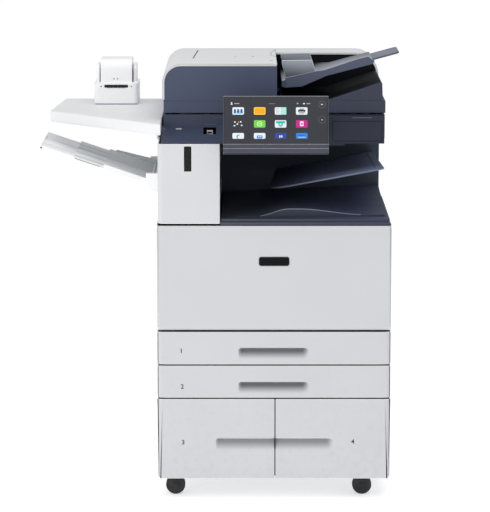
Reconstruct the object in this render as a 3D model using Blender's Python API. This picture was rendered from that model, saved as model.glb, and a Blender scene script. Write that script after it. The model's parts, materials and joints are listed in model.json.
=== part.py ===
"""Floor-standing office photocopier: document feeder, four paper trays, bypass tray and side shelf.


Metres, +Z up. Positions below are in the cabinet's frame: X runs right from the cabinet's middle, Y runs back
from its front panels, Z is the height above the floor. One empty shifts the whole object, so that its
bounding box is centred on the world's Z axis.
"""

import math

import bmesh
import bpy
from mathutils import Matrix, Vector

# ------------------------------------------------------------------ driving dimensions

HALF_WIDTH = 0.3105         # outer half width of the cabinet
REAR = 0.655                # outer face of the rear cover
PANEL = 0.020               # thickness of the front panels
WALL = 0.006                # thickness of the outer covers
FIT = 0.0004                # gap between pieces that touch
CORNER = 0.014              # radius of the cabinet's upright front corners

BASE_Z = 0.056              # underside of the lowest panels
TANDEM_TOP = 0.2735         # upper edge of the two side-by-side trays
TRAY_2_Z = (0.2775, 0.3640)
TRAY_1_Z = (0.3680, 0.4550)
COVER_Z = (0.4590, 0.7400)  # front cover
COLUMN_Z = (0.7460, 0.9575) # tall block at the left of the output bay
COLUMN_X = (-0.307, -0.143)
BAY_REAR = 0.430            # rear wall of the output bay
TANDEM_X = 0.003            # line between the two side-by-side trays
ENGINE_DECK_Z = (0.4592, 0.4618)    # steel deck under the print engine
ENGINE_PLATE_Y = (0.4705, 0.4735)   # upright steel plate that carries the print engine

SCAN_Z = (0.9585, 1.0225)   # scanner housing
SCAN_X = (-0.294, 0.295)
SCAN_FRONT = 0.115          # upright front face of the scanner housing
SCAN_REAR = 0.640
SLOPE_TOP = 0.9925          # upper edge of the sloping console

LID_Z = (1.0265, 1.0595)    # flat base of the document feeder
FEEDER_TOP = 1.158
FEEDER_SPLIT = 0.008        # right end of the feeder's closed head
FEEDER_GAP = 0.447          # front face of the feeder's rear housing
REAR_TAPER = 0.060          # how far the feeder's rear leans forward at its top
SLIT_MIDDLE = (-0.2130, 0.3915)     # slanting slit in the feeder's top
SLIT_TURN = math.radians(-2.1)

ROLLER_X = -0.110           # feed roller's axis
ROLLER_Z = 1.124
DOC_RAMP_X = 0.120          # where the document tray's bed turns steeper
DOC_RAMP_Z = 1.1305
DOC_SLOPE = (0.20, 0.270)   # rise per length before and after it
EXTENSION_Y = (0.190, 0.345)
EXTENSION_THICK = 0.0045
EXTENSION_MIDDLE = (0.262, 0.0, 1.1612)
EXTENSION_ANGLE = math.atan(DOC_SLOPE[1])

SHELF_Z = (0.978, 1.008)
BYPASS_PIVOT = (-0.325, 0.843)
BYPASS_TILT = math.radians(18.6)
BYPASS_Y = (0.135, 0.465)
SCREEN_PIVOT = (-0.028, 0.985)
SCREEN_TILT = math.radians(22.3)
COVER_PIVOT = (PANEL / 2, COVER_Z[0] + PANEL / 2)
DOC_PIVOT = (0.018, 1.156)
TOP_COVER_PIVOT = (-0.2945, 1.0635)
BUTTON_X = -0.253
BUTTON_Y = 0.094
SLOPE_ANGLE = math.atan2(SLOPE_TOP - SCAN_Z[0], SCAN_FRONT)

TONER_X = (-0.180, -0.070, 0.040, 0.150)
TONER_HEIGHT = 0.690
TONER_COLOURS = (
    ("toner_black", (0.02, 0.02, 0.02)),
    ("toner_cyan", (0.02, 0.25, 0.45)),
    ("toner_magenta", (0.40, 0.03, 0.15)),
    ("toner_yellow", (0.60, 0.45, 0.03)),
)

WHEEL_RADIUS = 0.026
CASTER_TRAIL = 0.018
CASTER_X = (-0.282, 0.220)
CASTER_Y = (0.062, 0.590)

# the object's bounding box, from the bypass tray's tip to the document tray's extension and from the
# touch screen's lower edge to the rear cover
BOX_X = (-0.62675, 0.33692)
BOX_Y = (-0.07810, REAR)

# ------------------------------------------------------------------ colours

WHITE = (0.64, 0.65, 0.67)
WARM_WHITE = (0.72, 0.72, 0.73)
NAVY = (0.060, 0.068, 0.105)
DARK_NAVY = (0.030, 0.036, 0.055)
GREY = (0.20, 0.21, 0.23)
LIGHT_GREY = (0.48, 0.49, 0.51)
BLACK = (0.012, 0.013, 0.015)
STEEL = (0.55, 0.56, 0.58)


# ------------------------------------------------------------------ helpers

def clear_scene():
    for obj in list(bpy.data.objects):
        bpy.data.objects.remove(obj)


def make_collection(name):
    collection = bpy.data.collections.new(name)
    bpy.context.scene.collection.children.link(collection)
    return collection


def make_material(name, colour, roughness, metallic=0.0):
    material = bpy.data.materials.new(name)
    material.use_nodes = True
    shader = material.node_tree.nodes["Principled BSDF"]
    shader.inputs["Base Color"].default_value = (*colour, 1.0)
    shader.inputs["Roughness"].default_value = roughness
    shader.inputs["Metallic"].default_value = metallic
    return material


def make_empty(name, location, parent):
    empty = bpy.data.objects.new(name, None)
    empty.location = location
    empty.parent = parent
    PARTS.objects.link(empty)
    return empty


def mesh_object(name, bm, smooth=False):
    """A new object from a finished bmesh, not yet in any collection."""
    bmesh.ops.recalc_face_normals(bm, faces=bm.faces)
    mesh = bpy.data.meshes.new(name)
    bm.to_mesh(mesh)
    bm.free()
    if smooth:
        mesh.shade_smooth()
        mesh.set_sharp_from_angle(angle=math.radians(35))
    return bpy.data.objects.new(name, mesh)


def box_bmesh(x, y, z):
    bm = bmesh.new()
    bmesh.ops.create_cube(bm, size=1.0)
    size = Vector((x[1] - x[0], y[1] - y[0], z[1] - z[0]))
    middle = Vector((x[0] + x[1], y[0] + y[1], z[0] + z[1])) / 2
    bmesh.ops.scale(bm, vec=size, verts=bm.verts)
    bmesh.ops.translate(bm, vec=middle, verts=bm.verts)
    return bm


def edge_runs_along(edge, axis):
    run = (edge.verts[1].co - edge.verts[0].co).normalized()
    return abs(run[axis]) > 0.99


def round_edges(bm, axis, radius, segments, keep):
    """Bevels the edges along one axis whose middle passes the test keep."""
    edges = []
    for edge in bm.edges:
        middle = (edge.verts[0].co + edge.verts[1].co) / 2
        if edge_runs_along(edge, axis) and keep(middle):
            edges.append(edge)
    bmesh.ops.bevel(bm, geom=edges, offset=radius, segments=segments, profile=0.5, affect="EDGES")


def box(x, y, z, name="box"):
    return mesh_object(name, box_bmesh(x, y, z))


def cylinder_bmesh(radius, length, segments, axis, centre):
    """A closed cylinder of the given length along X, Y or Z (axis 0, 1 or 2)."""
    turns = {
        0: Matrix.Rotation(math.radians(90), 4, "Y"),
        1: Matrix.Rotation(math.radians(90), 4, "X"),
        2: Matrix.Identity(4),
    }
    bm = bmesh.new()
    bmesh.ops.create_cone(
        bm,
        cap_ends=True,
        segments=segments,
        radius1=radius,
        radius2=radius,
        depth=length,
        matrix=Matrix.Translation(centre) @ turns[axis],
    )
    return bm


def cylinder(radius, length, segments, axis, centre):
    return mesh_object("cylinder", cylinder_bmesh(radius, length, segments, axis, centre), smooth=True)


def arc(centre, radius, start, end, steps):
    """Points on a circle, with the angles in degrees."""
    points = []
    for step in range(steps + 1):
        angle = math.radians(start + (end - start) * step / steps)
        points.append((centre[0] + radius * math.cos(angle), centre[1] + radius * math.sin(angle)))
    return points


def prism(outline, span, plane):
    """A flat outline made thick from span[0] to span[1]: plane XY along Z, XZ along Y and YZ along X."""
    curve = bpy.data.curves.new("outline", "CURVE")
    curve.dimensions = "2D"
    curve.fill_mode = "BOTH"
    curve.extrude = (span[1] - span[0]) / 2
    spline = curve.splines.new("POLY")
    spline.points.add(len(outline) - 1)
    for point, (u, v) in zip(spline.points, outline):
        point.co = (u, v, 0.0, 1.0)
    spline.use_cyclic_u = True
    holder = bpy.data.objects.new("outline", curve)
    CUTTERS.objects.link(holder)
    graph = bpy.context.evaluated_depsgraph_get()
    mesh = bpy.data.meshes.new_from_object(holder.evaluated_get(graph))
    bpy.data.objects.remove(holder)
    bm = bmesh.new()
    bm.from_mesh(mesh)
    bpy.data.meshes.remove(mesh)
    bmesh.ops.remove_doubles(bm, verts=bm.verts, dist=0.00001)
    bmesh.ops.dissolve_limit(bm, angle_limit=math.radians(0.5), verts=bm.verts, edges=bm.edges)
    bmesh.ops.translate(bm, vec=(0, 0, (span[0] + span[1]) / 2), verts=bm.verts)
    columns = {
        "XY": ((1, 0, 0), (0, 1, 0), (0, 0, 1)),
        "XZ": ((1, 0, 0), (0, 0, 1), (0, 1, 0)),
        "YZ": ((0, 1, 0), (0, 0, 1), (1, 0, 0)),
    }[plane]
    turn = Matrix(columns).transposed().to_4x4()
    bmesh.ops.transform(bm, matrix=turn, verts=bm.verts)
    return mesh_object("prism", bm)


def combine(target, helper, operation):
    """Cuts or joins target with a hidden helper object."""
    if helper.name not in CUTTERS.objects:
        CUTTERS.objects.link(helper)
    helper.hide_render = True
    helper.display_type = "WIRE"
    modifier = target.modifiers.new(operation.lower(), "BOOLEAN")
    modifier.operation = operation
    modifier.solver = "EXACT"
    modifier.object = helper


def cut(target, *helpers):
    for helper in helpers:
        combine(target, helper, "DIFFERENCE")


def join(target, *helpers):
    for helper in helpers:
        combine(target, helper, "UNION")


def place(obj, name, material, parent):
    """Names a finished piece, gives it its material and puts it under its parent.

    The mesh was drawn in the cabinet's frame, so a piece under a joint's empty is shifted back by the
    empty's own place: its origin then lies on the joint's axis.
    """
    obj.name = name
    obj.data.name = name
    obj.data.materials.append(material)
    PARTS.objects.link(obj)
    obj.parent = parent
    if parent is not ROOT:
        back = Matrix.Translation(-chain_offset(parent))
        obj.data.transform(back)
        for modifier in obj.modifiers:
            modifier.object.parent = parent
            modifier.object.data.transform(back)
    else:
        for modifier in obj.modifiers:
            modifier.object.parent = ROOT
    return obj


def chain_offset(empty):
    """Where an unturned joint empty stands in the cabinet's frame."""
    offset = Vector((0, 0, 0))
    while empty is not ROOT:
        offset += empty.location
        empty = empty.parent
    return offset


# ------------------------------------------------------------------ cabinet

def build_frame():
    """Welded inner frame: base plate, decks, rear wall, wall between the tandem trays and engine plate."""
    plate_x = (-HALF_WIDTH + 0.0065, HALF_WIDTH - 0.0065)
    front = PANEL + 0.004
    rear = 0.646
    frame = box(plate_x, (rear - 0.004, rear), (0.058, ENGINE_DECK_Z[1] - 0.0003))
    levels = ((0.058, 0.064), (0.2742, 0.2768), (0.3647, 0.3673), ENGINE_DECK_Z)
    for level in levels:
        join(frame, box(plate_x, (front, rear - 0.001), level))
    divider_x = (TANDEM_X - 0.0015, TANDEM_X + 0.0015)
    join(frame, box(divider_x, (front + 0.001, rear - 0.0015), (0.060, 0.2755)))
    join(frame, box(plate_x, ENGINE_PLATE_Y, (0.4600, 0.7400)))
    upper_y = (ENGINE_PLATE_Y[0] + 0.0001, ENGINE_PLATE_Y[1] - 0.0001)
    join(frame, box((-0.3025, 0.2905), upper_y, (0.7390, 0.9580)))
    for x in CASTER_X:
        for y in CASTER_Y:
            cut(frame, cylinder(0.0066, 0.02, 16, 2, (x, y, 0.061)))
    place(frame, "frame", STEEL_MATERIAL, ROOT)


def build_side_covers():
    side_y = (PANEL + 0.0015, 0.648)
    for name, side in (("left_cover", -1), ("right_cover", 1)):
        x = sorted((side * HALF_WIDTH, side * (HALF_WIDTH - WALL)))
        bm = box_bmesh(x, side_y, (0.058, COVER_Z[1]))
        round_edges(bm, 2, 0.003, 2, lambda m: m.x * side > HALF_WIDTH - 0.001)
        place(mesh_object(name, bm), name, WHITE_MATERIAL, ROOT)


def build_rear_cover():
    rear = box((-0.3045, 0.3045), (REAR - WALL, REAR), (0.058, COLUMN_Z[1] - 0.002))
    cut(rear, box((0.1995, 0.2405), (REAR - 0.02, REAR + 0.02), (0.1195, 0.1505)))
    place(rear, "rear_cover", WHITE_MATERIAL, ROOT)


def build_power_inlet():
    """Three-pole appliance inlet, an open pocket with a rim that sits in the rear cover."""
    inlet = box((0.200, 0.240), (REAR - 0.008, REAR + 0.0), (0.120, 0.150))
    cut(inlet, box((0.204, 0.236), (REAR - 0.006, REAR + 0.02), (0.124, 0.146)))
    for x, z in ((0.210, 0.132), (0.220, 0.138), (0.230, 0.132)):
        join(inlet, box((x - 0.001, x + 0.001), (REAR - 0.0065, REAR - 0.001), (z - 0.003, z + 0.003)))
    place(inlet, "power_inlet", BLACK_MATERIAL, ROOT)


def build_column():
    """Tall white block left of the output bay, open behind, with paper exit slots in its bay side."""
    bm = box_bmesh(COLUMN_X, (0.0, BAY_REAR), COLUMN_Z)
    round_edges(bm, 2, CORNER, 5, lambda m: m.y < 0.001 and m.x < -0.25)
    round_edges(bm, 2, 0.003, 2, lambda m: m.y < 0.001 and m.x > -0.25)
    column = mesh_object("column_cover", bm)
    inside = (COLUMN_X[0] + 0.004, COLUMN_X[1] - 0.004)
    cut(column, box(inside, (0.005, 0.5), (COLUMN_Z[0] - 0.01, COLUMN_Z[1] + 0.01)))
    cut(column, box((-0.35, COLUMN_X[1] - 0.05), (0.100, 0.5), (COLUMN_Z[0] - 0.01, COLUMN_Z[1] + 0.01)))
    for z in (0.800, 0.895):
        cut(column, box((COLUMN_X[1] - 0.02, COLUMN_X[1] + 0.02), (0.070, 0.400), (z, z + 0.014)))
    cut(column, box((-0.2374, -0.2176), (-0.01, 0.002), (0.8846, 0.9514)))
    place(column, "column_cover", WHITE_MATERIAL, ROOT)

    window = box((-0.237, -0.218), (0.0, 0.0016), (0.885, 0.951))
    place(window, "sensor_window", BLACK_MATERIAL, ROOT)


def build_left_upper_cover():
    """Side cover above the trays, with the mouth that the bypass tray feeds."""
    cover = box((COLUMN_X[0], COLUMN_X[0] + 0.004), (0.1005, 0.648), COLUMN_Z)
    cut(cover, box((-0.32, -0.29), BYPASS_Y, (0.858, 0.882)))
    place(cover, "left_upper_cover", WHITE_MATERIAL, ROOT)


def smooth_step(value):
    value = max(0.0, min(1.0, value))
    return value * value * (3 - 2 * value)


def hump_height(x):
    """Front profile of the lower output tray's bed: flat at the left, a quick rise, a long slow fall."""
    rise = smooth_step((x + 0.045) / 0.085)
    fall = smooth_step((x - 0.065) / 0.175)
    return 0.7592 + 0.0195 * rise * (1 - 0.8 * fall)


def build_lower_output_tray():
    """Deck with a stepped front edge, and a paper bed that is humped in front and climbs to the rear."""
    deck_x = (COLUMN_X[1] + FIT, 0.3050)
    low = COVER_Z[1] + 0.0015
    tray = box(deck_x, (0.003, BAY_REAR - FIT), (low, 0.7500))
    join(tray, box((deck_x[0] + 0.0001, deck_x[1] - 0.0001), (0.009, BAY_REAR - 0.0005), (0.745, 0.758)))
    left, right = -0.139, 0.295
    xs = [left + (right - left) * step / 22 for step in range(23)]
    top = [(x, hump_height(x)) for x in xs]
    bed = prism([(left, 0.750), (right, 0.750), *reversed(top)], (0.050, BAY_REAR - 0.0010), "XZ")
    for vertex in bed.data.vertices:
        if vertex.co.y > 0.3 and vertex.co.z > 0.755:
            vertex.co.z = 0.772 + 0.040 * (vertex.co.x - left)
    join(tray, bed)
    place(tray, "lower_output_tray", NAVY_MATERIAL, ROOT)


def build_rear_bay_cover():
    """Rear wall of the output bay, turned back along the right side."""
    z = (COVER_Z[1] + 0.0015, COLUMN_Z[1])
    wall = box((COLUMN_X[1] - 0.03, 0.296), (BAY_REAR + FIT, BAY_REAR + 0.005), z)
    join(wall, box((0.291, 0.2959), (BAY_REAR + 0.001, 0.648), (z[0] + 0.0001, z[1] - 0.0001)))
    place(wall, "rear_bay_cover", DARK_MATERIAL, ROOT)


def build_upper_output_tray():
    """Thin tray that rises to the right from the bay's rear wall."""
    slope = math.atan2(0.057, 0.309)
    outline = [(0.010, 0.4300), (-0.010, 0.150), *arc((0.040, 0.110), 0.050, 200, 265, 4), (0.280, 0.060)]
    outline += [(0.292, 0.066), (0.277, 0.4300)]
    tray = prism(outline, (0.0, 0.0045), "XY")
    for vertex in tray.data.vertices:
        vertex.co.z += 0.8255 + math.tan(slope) * (vertex.co.x + 0.016)
    place(tray, "upper_output_tray", NAVY_MATERIAL, ROOT)


# ------------------------------------------------------------------ engine

def build_front_cover(parent):
    """Wide drop-down cover. Its lower edge is rolled round the hinge axis."""
    bm = box_bmesh((-HALF_WIDTH, HALF_WIDTH), (0.0, PANEL), COVER_Z)
    round_edges(bm, 0, PANEL / 2 - 0.00005, 6, lambda m: m.z < 0.5)
    round_edges(bm, 2, 0.008, 4, lambda m: m.y < 0.001)
    cover = mesh_object("front_cover", bm)
    inside_x = (-HALF_WIDTH + 0.012, HALF_WIDTH - 0.012)
    cut(cover, box(inside_x, (0.006, 0.05), (COVER_Z[0] + 0.026, COVER_Z[1] - 0.010)))
    place(cover, "front_cover", WHITE_MATERIAL, parent)


def build_inner_front_panel():
    panel = box((-0.3025, 0.3025), (0.032, 0.036), (0.4630, 0.7385))
    for x in TONER_X:
        cut(panel, cylinder(0.0360, 0.05, 20, 1, (x, 0.034, TONER_HEIGHT)))
    cut(panel, box((-0.0805, 0.2205), (0.02, 0.05), (0.4745, 0.5455)))
    place(panel, "inner_front_panel", GREY_MATERIAL, ROOT)


def build_toner_cartridges():
    """Four round cartridges side by side, each with a pull handle across its front end."""
    for x, (name, colour) in zip(TONER_X, TONER_COLOURS):
        bottle = cylinder(0.0350, 0.438, 20, 1, (x, 0.031 + 0.219, TONER_HEIGHT))
        grip_z = (TONER_HEIGHT - 0.026, TONER_HEIGHT + 0.026)
        join(bottle, box((x - 0.006, x + 0.006), (0.0235, 0.035), grip_z))
        place(bottle, name, make_material(name, colour, 0.4), ROOT)


def build_engine_units():
    waste = mesh_object("waste", box_bmesh((-0.080, 0.220), (0.0285, 0.075), (0.475, 0.545)))
    place(waste, "waste_toner_bottle", LIGHT_MATERIAL, ROOT)

    laser = box((-0.230, 0.200), (0.090, 0.470), (0.4622, 0.530))
    join(laser, box((-0.150, -0.050), (0.150, 0.250), (0.525, 0.548)))
    place(laser, "laser_unit", GREY_MATERIAL, ROOT)

    drums = box((-0.235, 0.205), (0.060, 0.470), (0.588, 0.594))
    for x in TONER_X:
        join(drums, cylinder(0.0165, 0.406, 20, 1, (x, 0.265, 0.577)))
    place(drums, "drum_unit", BLACK_MATERIAL, ROOT)

    left = arc((-0.225, 0.620), 0.018, 90, 270, 8)
    right = arc((0.195, 0.620), 0.018, -90, 90, 8)
    belt = prism([*left, *right], (0.060, 0.470), "XZ")
    place(belt, "transfer_belt_unit", GREY_MATERIAL, ROOT)

    fuser = box((-0.298, -0.215), (0.060, 0.470), (0.752, 0.790))
    join(fuser, cylinder(0.017, 0.340, 20, 1, (-0.235, 0.2425, 0.795)))
    join(fuser, cylinder(0.017, 0.340, 20, 1, (-0.272, 0.2425, 0.795)))
    place(fuser, "fuser_unit", STEEL_MATERIAL, ROOT)


# ------------------------------------------------------------------ paper trays

def panel_with_grip(x, z, grip_x, grip_z, rounded_sides):
    """A tray's front panel, rounded on its outer sides, with a wedge-shaped grip deepest at its top."""
    bm = box_bmesh(x, (0.0, PANEL), z)
    if -1 in rounded_sides:
        round_edges(bm, 2, CORNER, 5, lambda m: m.y < 0.001 and m.x < x[0] + 0.001)
    if 1 in rounded_sides:
        round_edges(bm, 2, CORNER, 5, lambda m: m.y < 0.001 and m.x > x[1] - 0.001)
    panel = mesh_object("panel", bm)
    low, high = grip_z
    wedge = prism([(-0.01, low), (0.001, low), (0.006, low + 0.012), (0.0165, high - 0.002),
                   (0.0165, high + 0.005), (0.008, high + 0.005), (0.005, high), (-0.01, high)], grip_x, "YZ")
    cut(panel, wedge)
    return panel


def open_bin(x, y, z, wall=0.003):
    """A tray body, open at the top."""
    body = box(x, y, z)
    cut(body, box((x[0] + wall, x[1] - wall), (y[0] + wall, y[1] - wall), (z[0] + wall, z[1] + 0.05)))
    return body


def build_trays(empties):
    full = (-HALF_WIDTH, HALF_WIDTH)
    left = (-HALF_WIDTH, TANDEM_X - 0.0015)
    right = (TANDEM_X + 0.0015, HALF_WIDTH)
    bin_y = (PANEL + FIT, 0.620)
    layout = (
        ("tray_1", full, TRAY_1_Z, (-0.094, 0.090), (0.376, 0.4100), (-1, 1), (-0.292, 0.292)),
        ("tray_2", full, TRAY_2_Z, (-0.094, 0.090), (0.283, 0.3170), (-1, 1), (-0.292, 0.292)),
        ("tray_3", left, (BASE_Z, TANDEM_TOP), (-0.155, 0.05), (0.126, 0.1640), (-1,), (-0.292, -0.006)),
        ("tray_4", right, (BASE_Z, TANDEM_TOP), (-0.05, 0.154), (0.126, 0.1640), (1,), (0.012, 0.292)),
    )
    for name, x, z, grip_x, grip_z, rounded, bin_x in layout:
        front = panel_with_grip(x, z, grip_x, grip_z, rounded)
        place(front, name + "_front", WHITE_MATERIAL, empties[name])
        floor = max(z[0], 0.0660)
        body = open_bin(bin_x, bin_y, (floor, z[1] - 0.012))
        place(body, name + "_bin", GREY_MATERIAL, empties[name])


# ------------------------------------------------------------------ scanner and console

def slope_height(y):
    """Height of the sloping console at depth y."""
    return SCAN_Z[0] + (SLOPE_TOP - SCAN_Z[0]) * y / SCAN_FRONT


def on_slope(x, y, up):
    """Turns a piece drawn flat at the origin onto the console's slope."""
    spot = Vector((x, y, slope_height(y)))
    turn = Matrix.Rotation(SLOPE_ANGLE, 4, "X")
    return Matrix.Translation(spot) @ turn @ Matrix.Translation((0, 0, up))


def build_scanner():
    """Open-topped housing for the scan carriage, with the console wedge in front and the screen's arm."""
    body = box(SCAN_X, (SCAN_FRONT, SCAN_REAR), SCAN_Z)
    console = prism([(0.0, SCAN_Z[0]), (SCAN_FRONT + 0.001, SCAN_Z[0] + 0.00005),
                     (SCAN_FRONT + 0.001, SLOPE_TOP), (0.0, SCAN_Z[0] + 0.002)], (-0.298, 0.1405), "YZ")
    right_front = box((0.1400, SCAN_X[1] - 0.00005), (0.100, 0.125), (0.9460, SCAN_Z[1] - 0.00005))
    arm = box((-0.055, 0.055), (SCREEN_PIVOT[0], 0.090), (SCREEN_PIVOT[1] - 0.006, SCREEN_PIVOT[1] + 0.006))
    barrel = cylinder(0.010, 0.140, 20, 0, (0.0, SCREEN_PIVOT[0], SCREEN_PIVOT[1]))
    join(body, console, right_front, arm, barrel)
    cut(body, box((-0.262, 0.262), (0.143, 0.592), (0.9680, 1.05)))
    cut(body, box((-0.2755, 0.2755), (0.1295, 0.6055), (1.0185, 1.05)))
    cut(body, box((-0.187, -0.154), (0.060, 0.130), (0.9700, 0.9890)))
    pocket = box((-0.0090, 0.0090), (-0.0045, 0.0045), (-0.0060, 0.01))
    pocket.data.transform(on_slope(BUTTON_X, BUTTON_Y, 0.0))
    cut(body, pocket)
    place(body, "scanner_housing", NAVY_MATERIAL, ROOT)

    glass = box((-0.2750, 0.2750), (0.130, 0.605), (1.0190, SCAN_Z[1]))
    place(glass, "platen_glass", GLASS_MATERIAL, ROOT)

    socket = box((-0.1785, -0.1625), (0.100, 0.1295), (0.9705, 0.9810))
    cut(socket, box((-0.1765, -0.1645), (0.09, 0.127), (0.9730, 0.9785)))
    place(socket, "usb_socket", STEEL_MATERIAL, ROOT)


def build_carriage(parent):
    carriage = box((-0.252, -0.222), (0.150, 0.585), (0.9684, 1.0080))
    cut(carriage, box((-0.240, -0.234), (0.160, 0.575), (0.990, 1.02)))
    place(carriage, "scan_carriage", BLACK_MATERIAL, parent)


def build_wake_button(parent):
    bm = box_bmesh((-0.0085, 0.0085), (-0.0040, 0.0040), (-0.0030, 0.0008))
    round_edges(bm, 2, 0.0035, 4, lambda m: True)
    button = mesh_object("wake_button", bm, smooth=True)
    button.data.transform(on_slope(BUTTON_X, BUTTON_Y, 0.0))
    place(button, "wake_button", LIGHT_MATERIAL, parent)


def build_screen(parent):
    """Tilting touch screen, drawn upright with its back plane at Y = 0 and then tilted with its empty."""
    width = (-0.1340, 0.1410)
    bm = box_bmesh(width, (-0.032, -0.0115), (-0.0565, 0.0972))
    round_edges(bm, 0, 0.006, 3, lambda m: m.z > 0.09 and m.y > -0.02)
    round_edges(bm, 1, 0.005, 3, lambda m: m.z > 0.09)
    housing = mesh_object("screen_housing", bm)
    cut(housing, box((width[0] + 0.0025, width[1] - 0.0025), (-0.05, -0.0285), (-0.0333, 0.0947)))
    place_tilted(housing, "screen_housing", GREY_MATERIAL, parent)

    glass = box((width[0] + 0.0029, width[1] - 0.0029), (-0.0326, -0.0289), (-0.0329, 0.0943))
    place_tilted(glass, "screen_glass", BLACK_MATERIAL, parent)


def place_tilted(obj, name, material, parent):
    """As place, for a piece that was drawn in the frame of a turned empty."""
    obj.name = name
    obj.data.name = name
    obj.data.materials.append(material)
    PARTS.objects.link(obj)
    obj.parent = parent
    for modifier in obj.modifiers:
        modifier.object.parent = parent


# ------------------------------------------------------------------ document feeder

def head_outline(left, right, low, high, radius):
    """Front view of the feeder's closed head: square, with one large rounded upper corner on the left."""
    corner = arc((left + radius, high - radius), radius, 90, 180, 8)
    return [(right, low), (right, high), *corner, (left, low)]


def build_feeder_base(parent):
    """Hinged lid: flat base, front wall of the head, chassis with roller bearings, sloping output bed."""
    base = box((-0.2935, 0.2965), (0.113, SCAN_REAR), LID_Z)
    face = prism(head_outline(-0.2925, FEEDER_SPLIT, 1.050, 1.1535, 0.046), (0.1131, 0.1210), "XZ")
    chassis = box((-0.280, FEEDER_SPLIT - 0.004), (0.1205, 0.440), (1.055, 1.100))
    join(base, face, chassis)
    for y in (0.180, 0.380):
        bearing = box((ROLLER_X - 0.012, ROLLER_X + 0.012), (y - 0.005, y + 0.005), (1.095, 1.137))
        join(base, bearing)
    bed = prism([(0.020, 1.050), (0.020, 1.0630), (0.149, 1.0640), (0.2830, 1.1090), (0.2880, 1.1050),
                 (0.2895, 1.050)], (0.1150, FEEDER_GAP - 0.0005), "XZ")
    join(base, bed)
    cut(base, cylinder(0.0043, 0.30, 16, 1, (ROLLER_X, 0.280, ROLLER_Z)))
    place(base, "feeder_base", NAVY_MATERIAL, parent)

    cushion = box((-0.255, 0.255), (0.150, 0.585), (SCAN_Z[1] + 0.0008, LID_Z[0] - FIT))
    place(cushion, "platen_cushion", WHITE_MATERIAL, parent)


def build_feed_roller(parent):
    """Rubber roller on its shaft, which runs in the two bearings of the feeder's chassis."""
    roller = cylinder(0.0160, 0.160, 24, 1, (ROLLER_X, 0.280, ROLLER_Z))
    join(roller, cylinder(0.0039, 0.230, 16, 1, (ROLLER_X, 0.280, ROLLER_Z)))
    place(roller, "feed_roller", BLACK_MATERIAL, parent)


def build_feeder_top_cover(parent):
    """White shell over the feeder's head. It swings up to the left."""
    outer = head_outline(-0.2975, FEEDER_SPLIT, 1.0625, FEEDER_TOP, 0.050)
    inner = head_outline(-0.2935, FEEDER_SPLIT + 0.02, 1.02, FEEDER_TOP - 0.004, 0.046)
    shell = prism(outer, (0.1120, 0.640), "XZ")
    for vertex in shell.data.vertices:
        if vertex.co.y > 0.6 and vertex.co.z > 1.10:
            vertex.co.y -= REAR_TAPER
    cut(shell, prism(inner, (0.05, 0.572), "XZ"))
    slit = box((-0.00125, 0.00125), (-0.1235, 0.1235), (-0.0015, 0.01))
    slit.data.transform(Matrix.Translation((*SLIT_MIDDLE, FEEDER_TOP)) @ Matrix.Rotation(SLIT_TURN, 4, "Z"))
    cut(shell, slit)
    place(shell, "feeder_top_cover", WHITE_MATERIAL, parent)


def build_feeder_rear_housing(parent):
    """Drive housing behind the document tray, open underneath."""
    corner = arc((0.232, FEEDER_TOP - 0.062), 0.062, 0, 90, 8)
    outline = [(FEEDER_SPLIT + 0.0006, 1.0600), (0.2960, 1.0600), *corner]
    outline += [(FEEDER_SPLIT + 0.0006, FEEDER_TOP)]
    housing = prism(outline, (FEEDER_GAP, 0.640), "XZ")
    for vertex in housing.data.vertices:
        if vertex.co.y > 0.6 and vertex.co.z > 1.10:
            vertex.co.y -= REAR_TAPER
    cut(housing, box((0.015, 0.270), (FEEDER_GAP + 0.004, 0.590), (1.03, 1.110)))
    place(housing, "feeder_rear_housing", WHITE_MATERIAL, parent)


def doc_floor(x):
    """Height of the document tray's bed: a gentle ramp, then a steeper one."""
    slope = DOC_SLOPE[0] if x < DOC_RAMP_X else DOC_SLOPE[1]
    return DOC_RAMP_Z + slope * (x - DOC_RAMP_X)


def build_document_tray(parent):
    y = (0.1300, FEEDER_GAP - 0.002)
    top = [(0.262, doc_floor(0.262)), (DOC_RAMP_X, DOC_RAMP_Z), (0.0205, doc_floor(0.0205))]
    bottom = [(0.0205, 1.0950), (0.030, 1.0920), (0.074, 1.0950), (0.140, 1.1240), (0.264, 1.1560)]
    tray = prism([*top, *bottom], y, "XZ")
    wall_top = [(0.250, 1.1760), (0.225, 1.1700), (0.134, 1.1400), (0.112, 1.1370), (0.030, 1.1190)]
    wall_bottom = [(0.031, 1.0930), (0.074, 1.0955), (0.140, 1.1245), (0.262, 1.1565), (0.268, 1.1640)]
    join(tray, prism([*wall_top, *wall_bottom], (0.1262, 0.1305), "XZ"))
    thickness = EXTENSION_THICK + 0.0010
    slot_y = (EXTENSION_Y[0] - 0.0005, EXTENSION_Y[1] + 0.0005)
    slot = box((-0.13, 0.10), slot_y, (-thickness / 2, thickness / 2))
    slot.data.transform(Matrix.Translation(EXTENSION_MIDDLE) @ Matrix.Rotation(-EXTENSION_ANGLE, 4, "Y"))
    cut(tray, slot)
    behind = [(0.122, 0.50), (0.122, 0.442), (0.152, 0.352), (0.290, 0.352), (0.290, 0.50)]
    cut(tray, prism(behind, (1.05, 1.25), "XY"))
    for track_y in (0.215, 0.365):
        cut(tray, box((0.058, 0.066), (track_y - 0.062, track_y + 0.062), (1.110, 1.13)))
    place(tray, "document_tray", NAVY_MATERIAL, parent)


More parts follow.
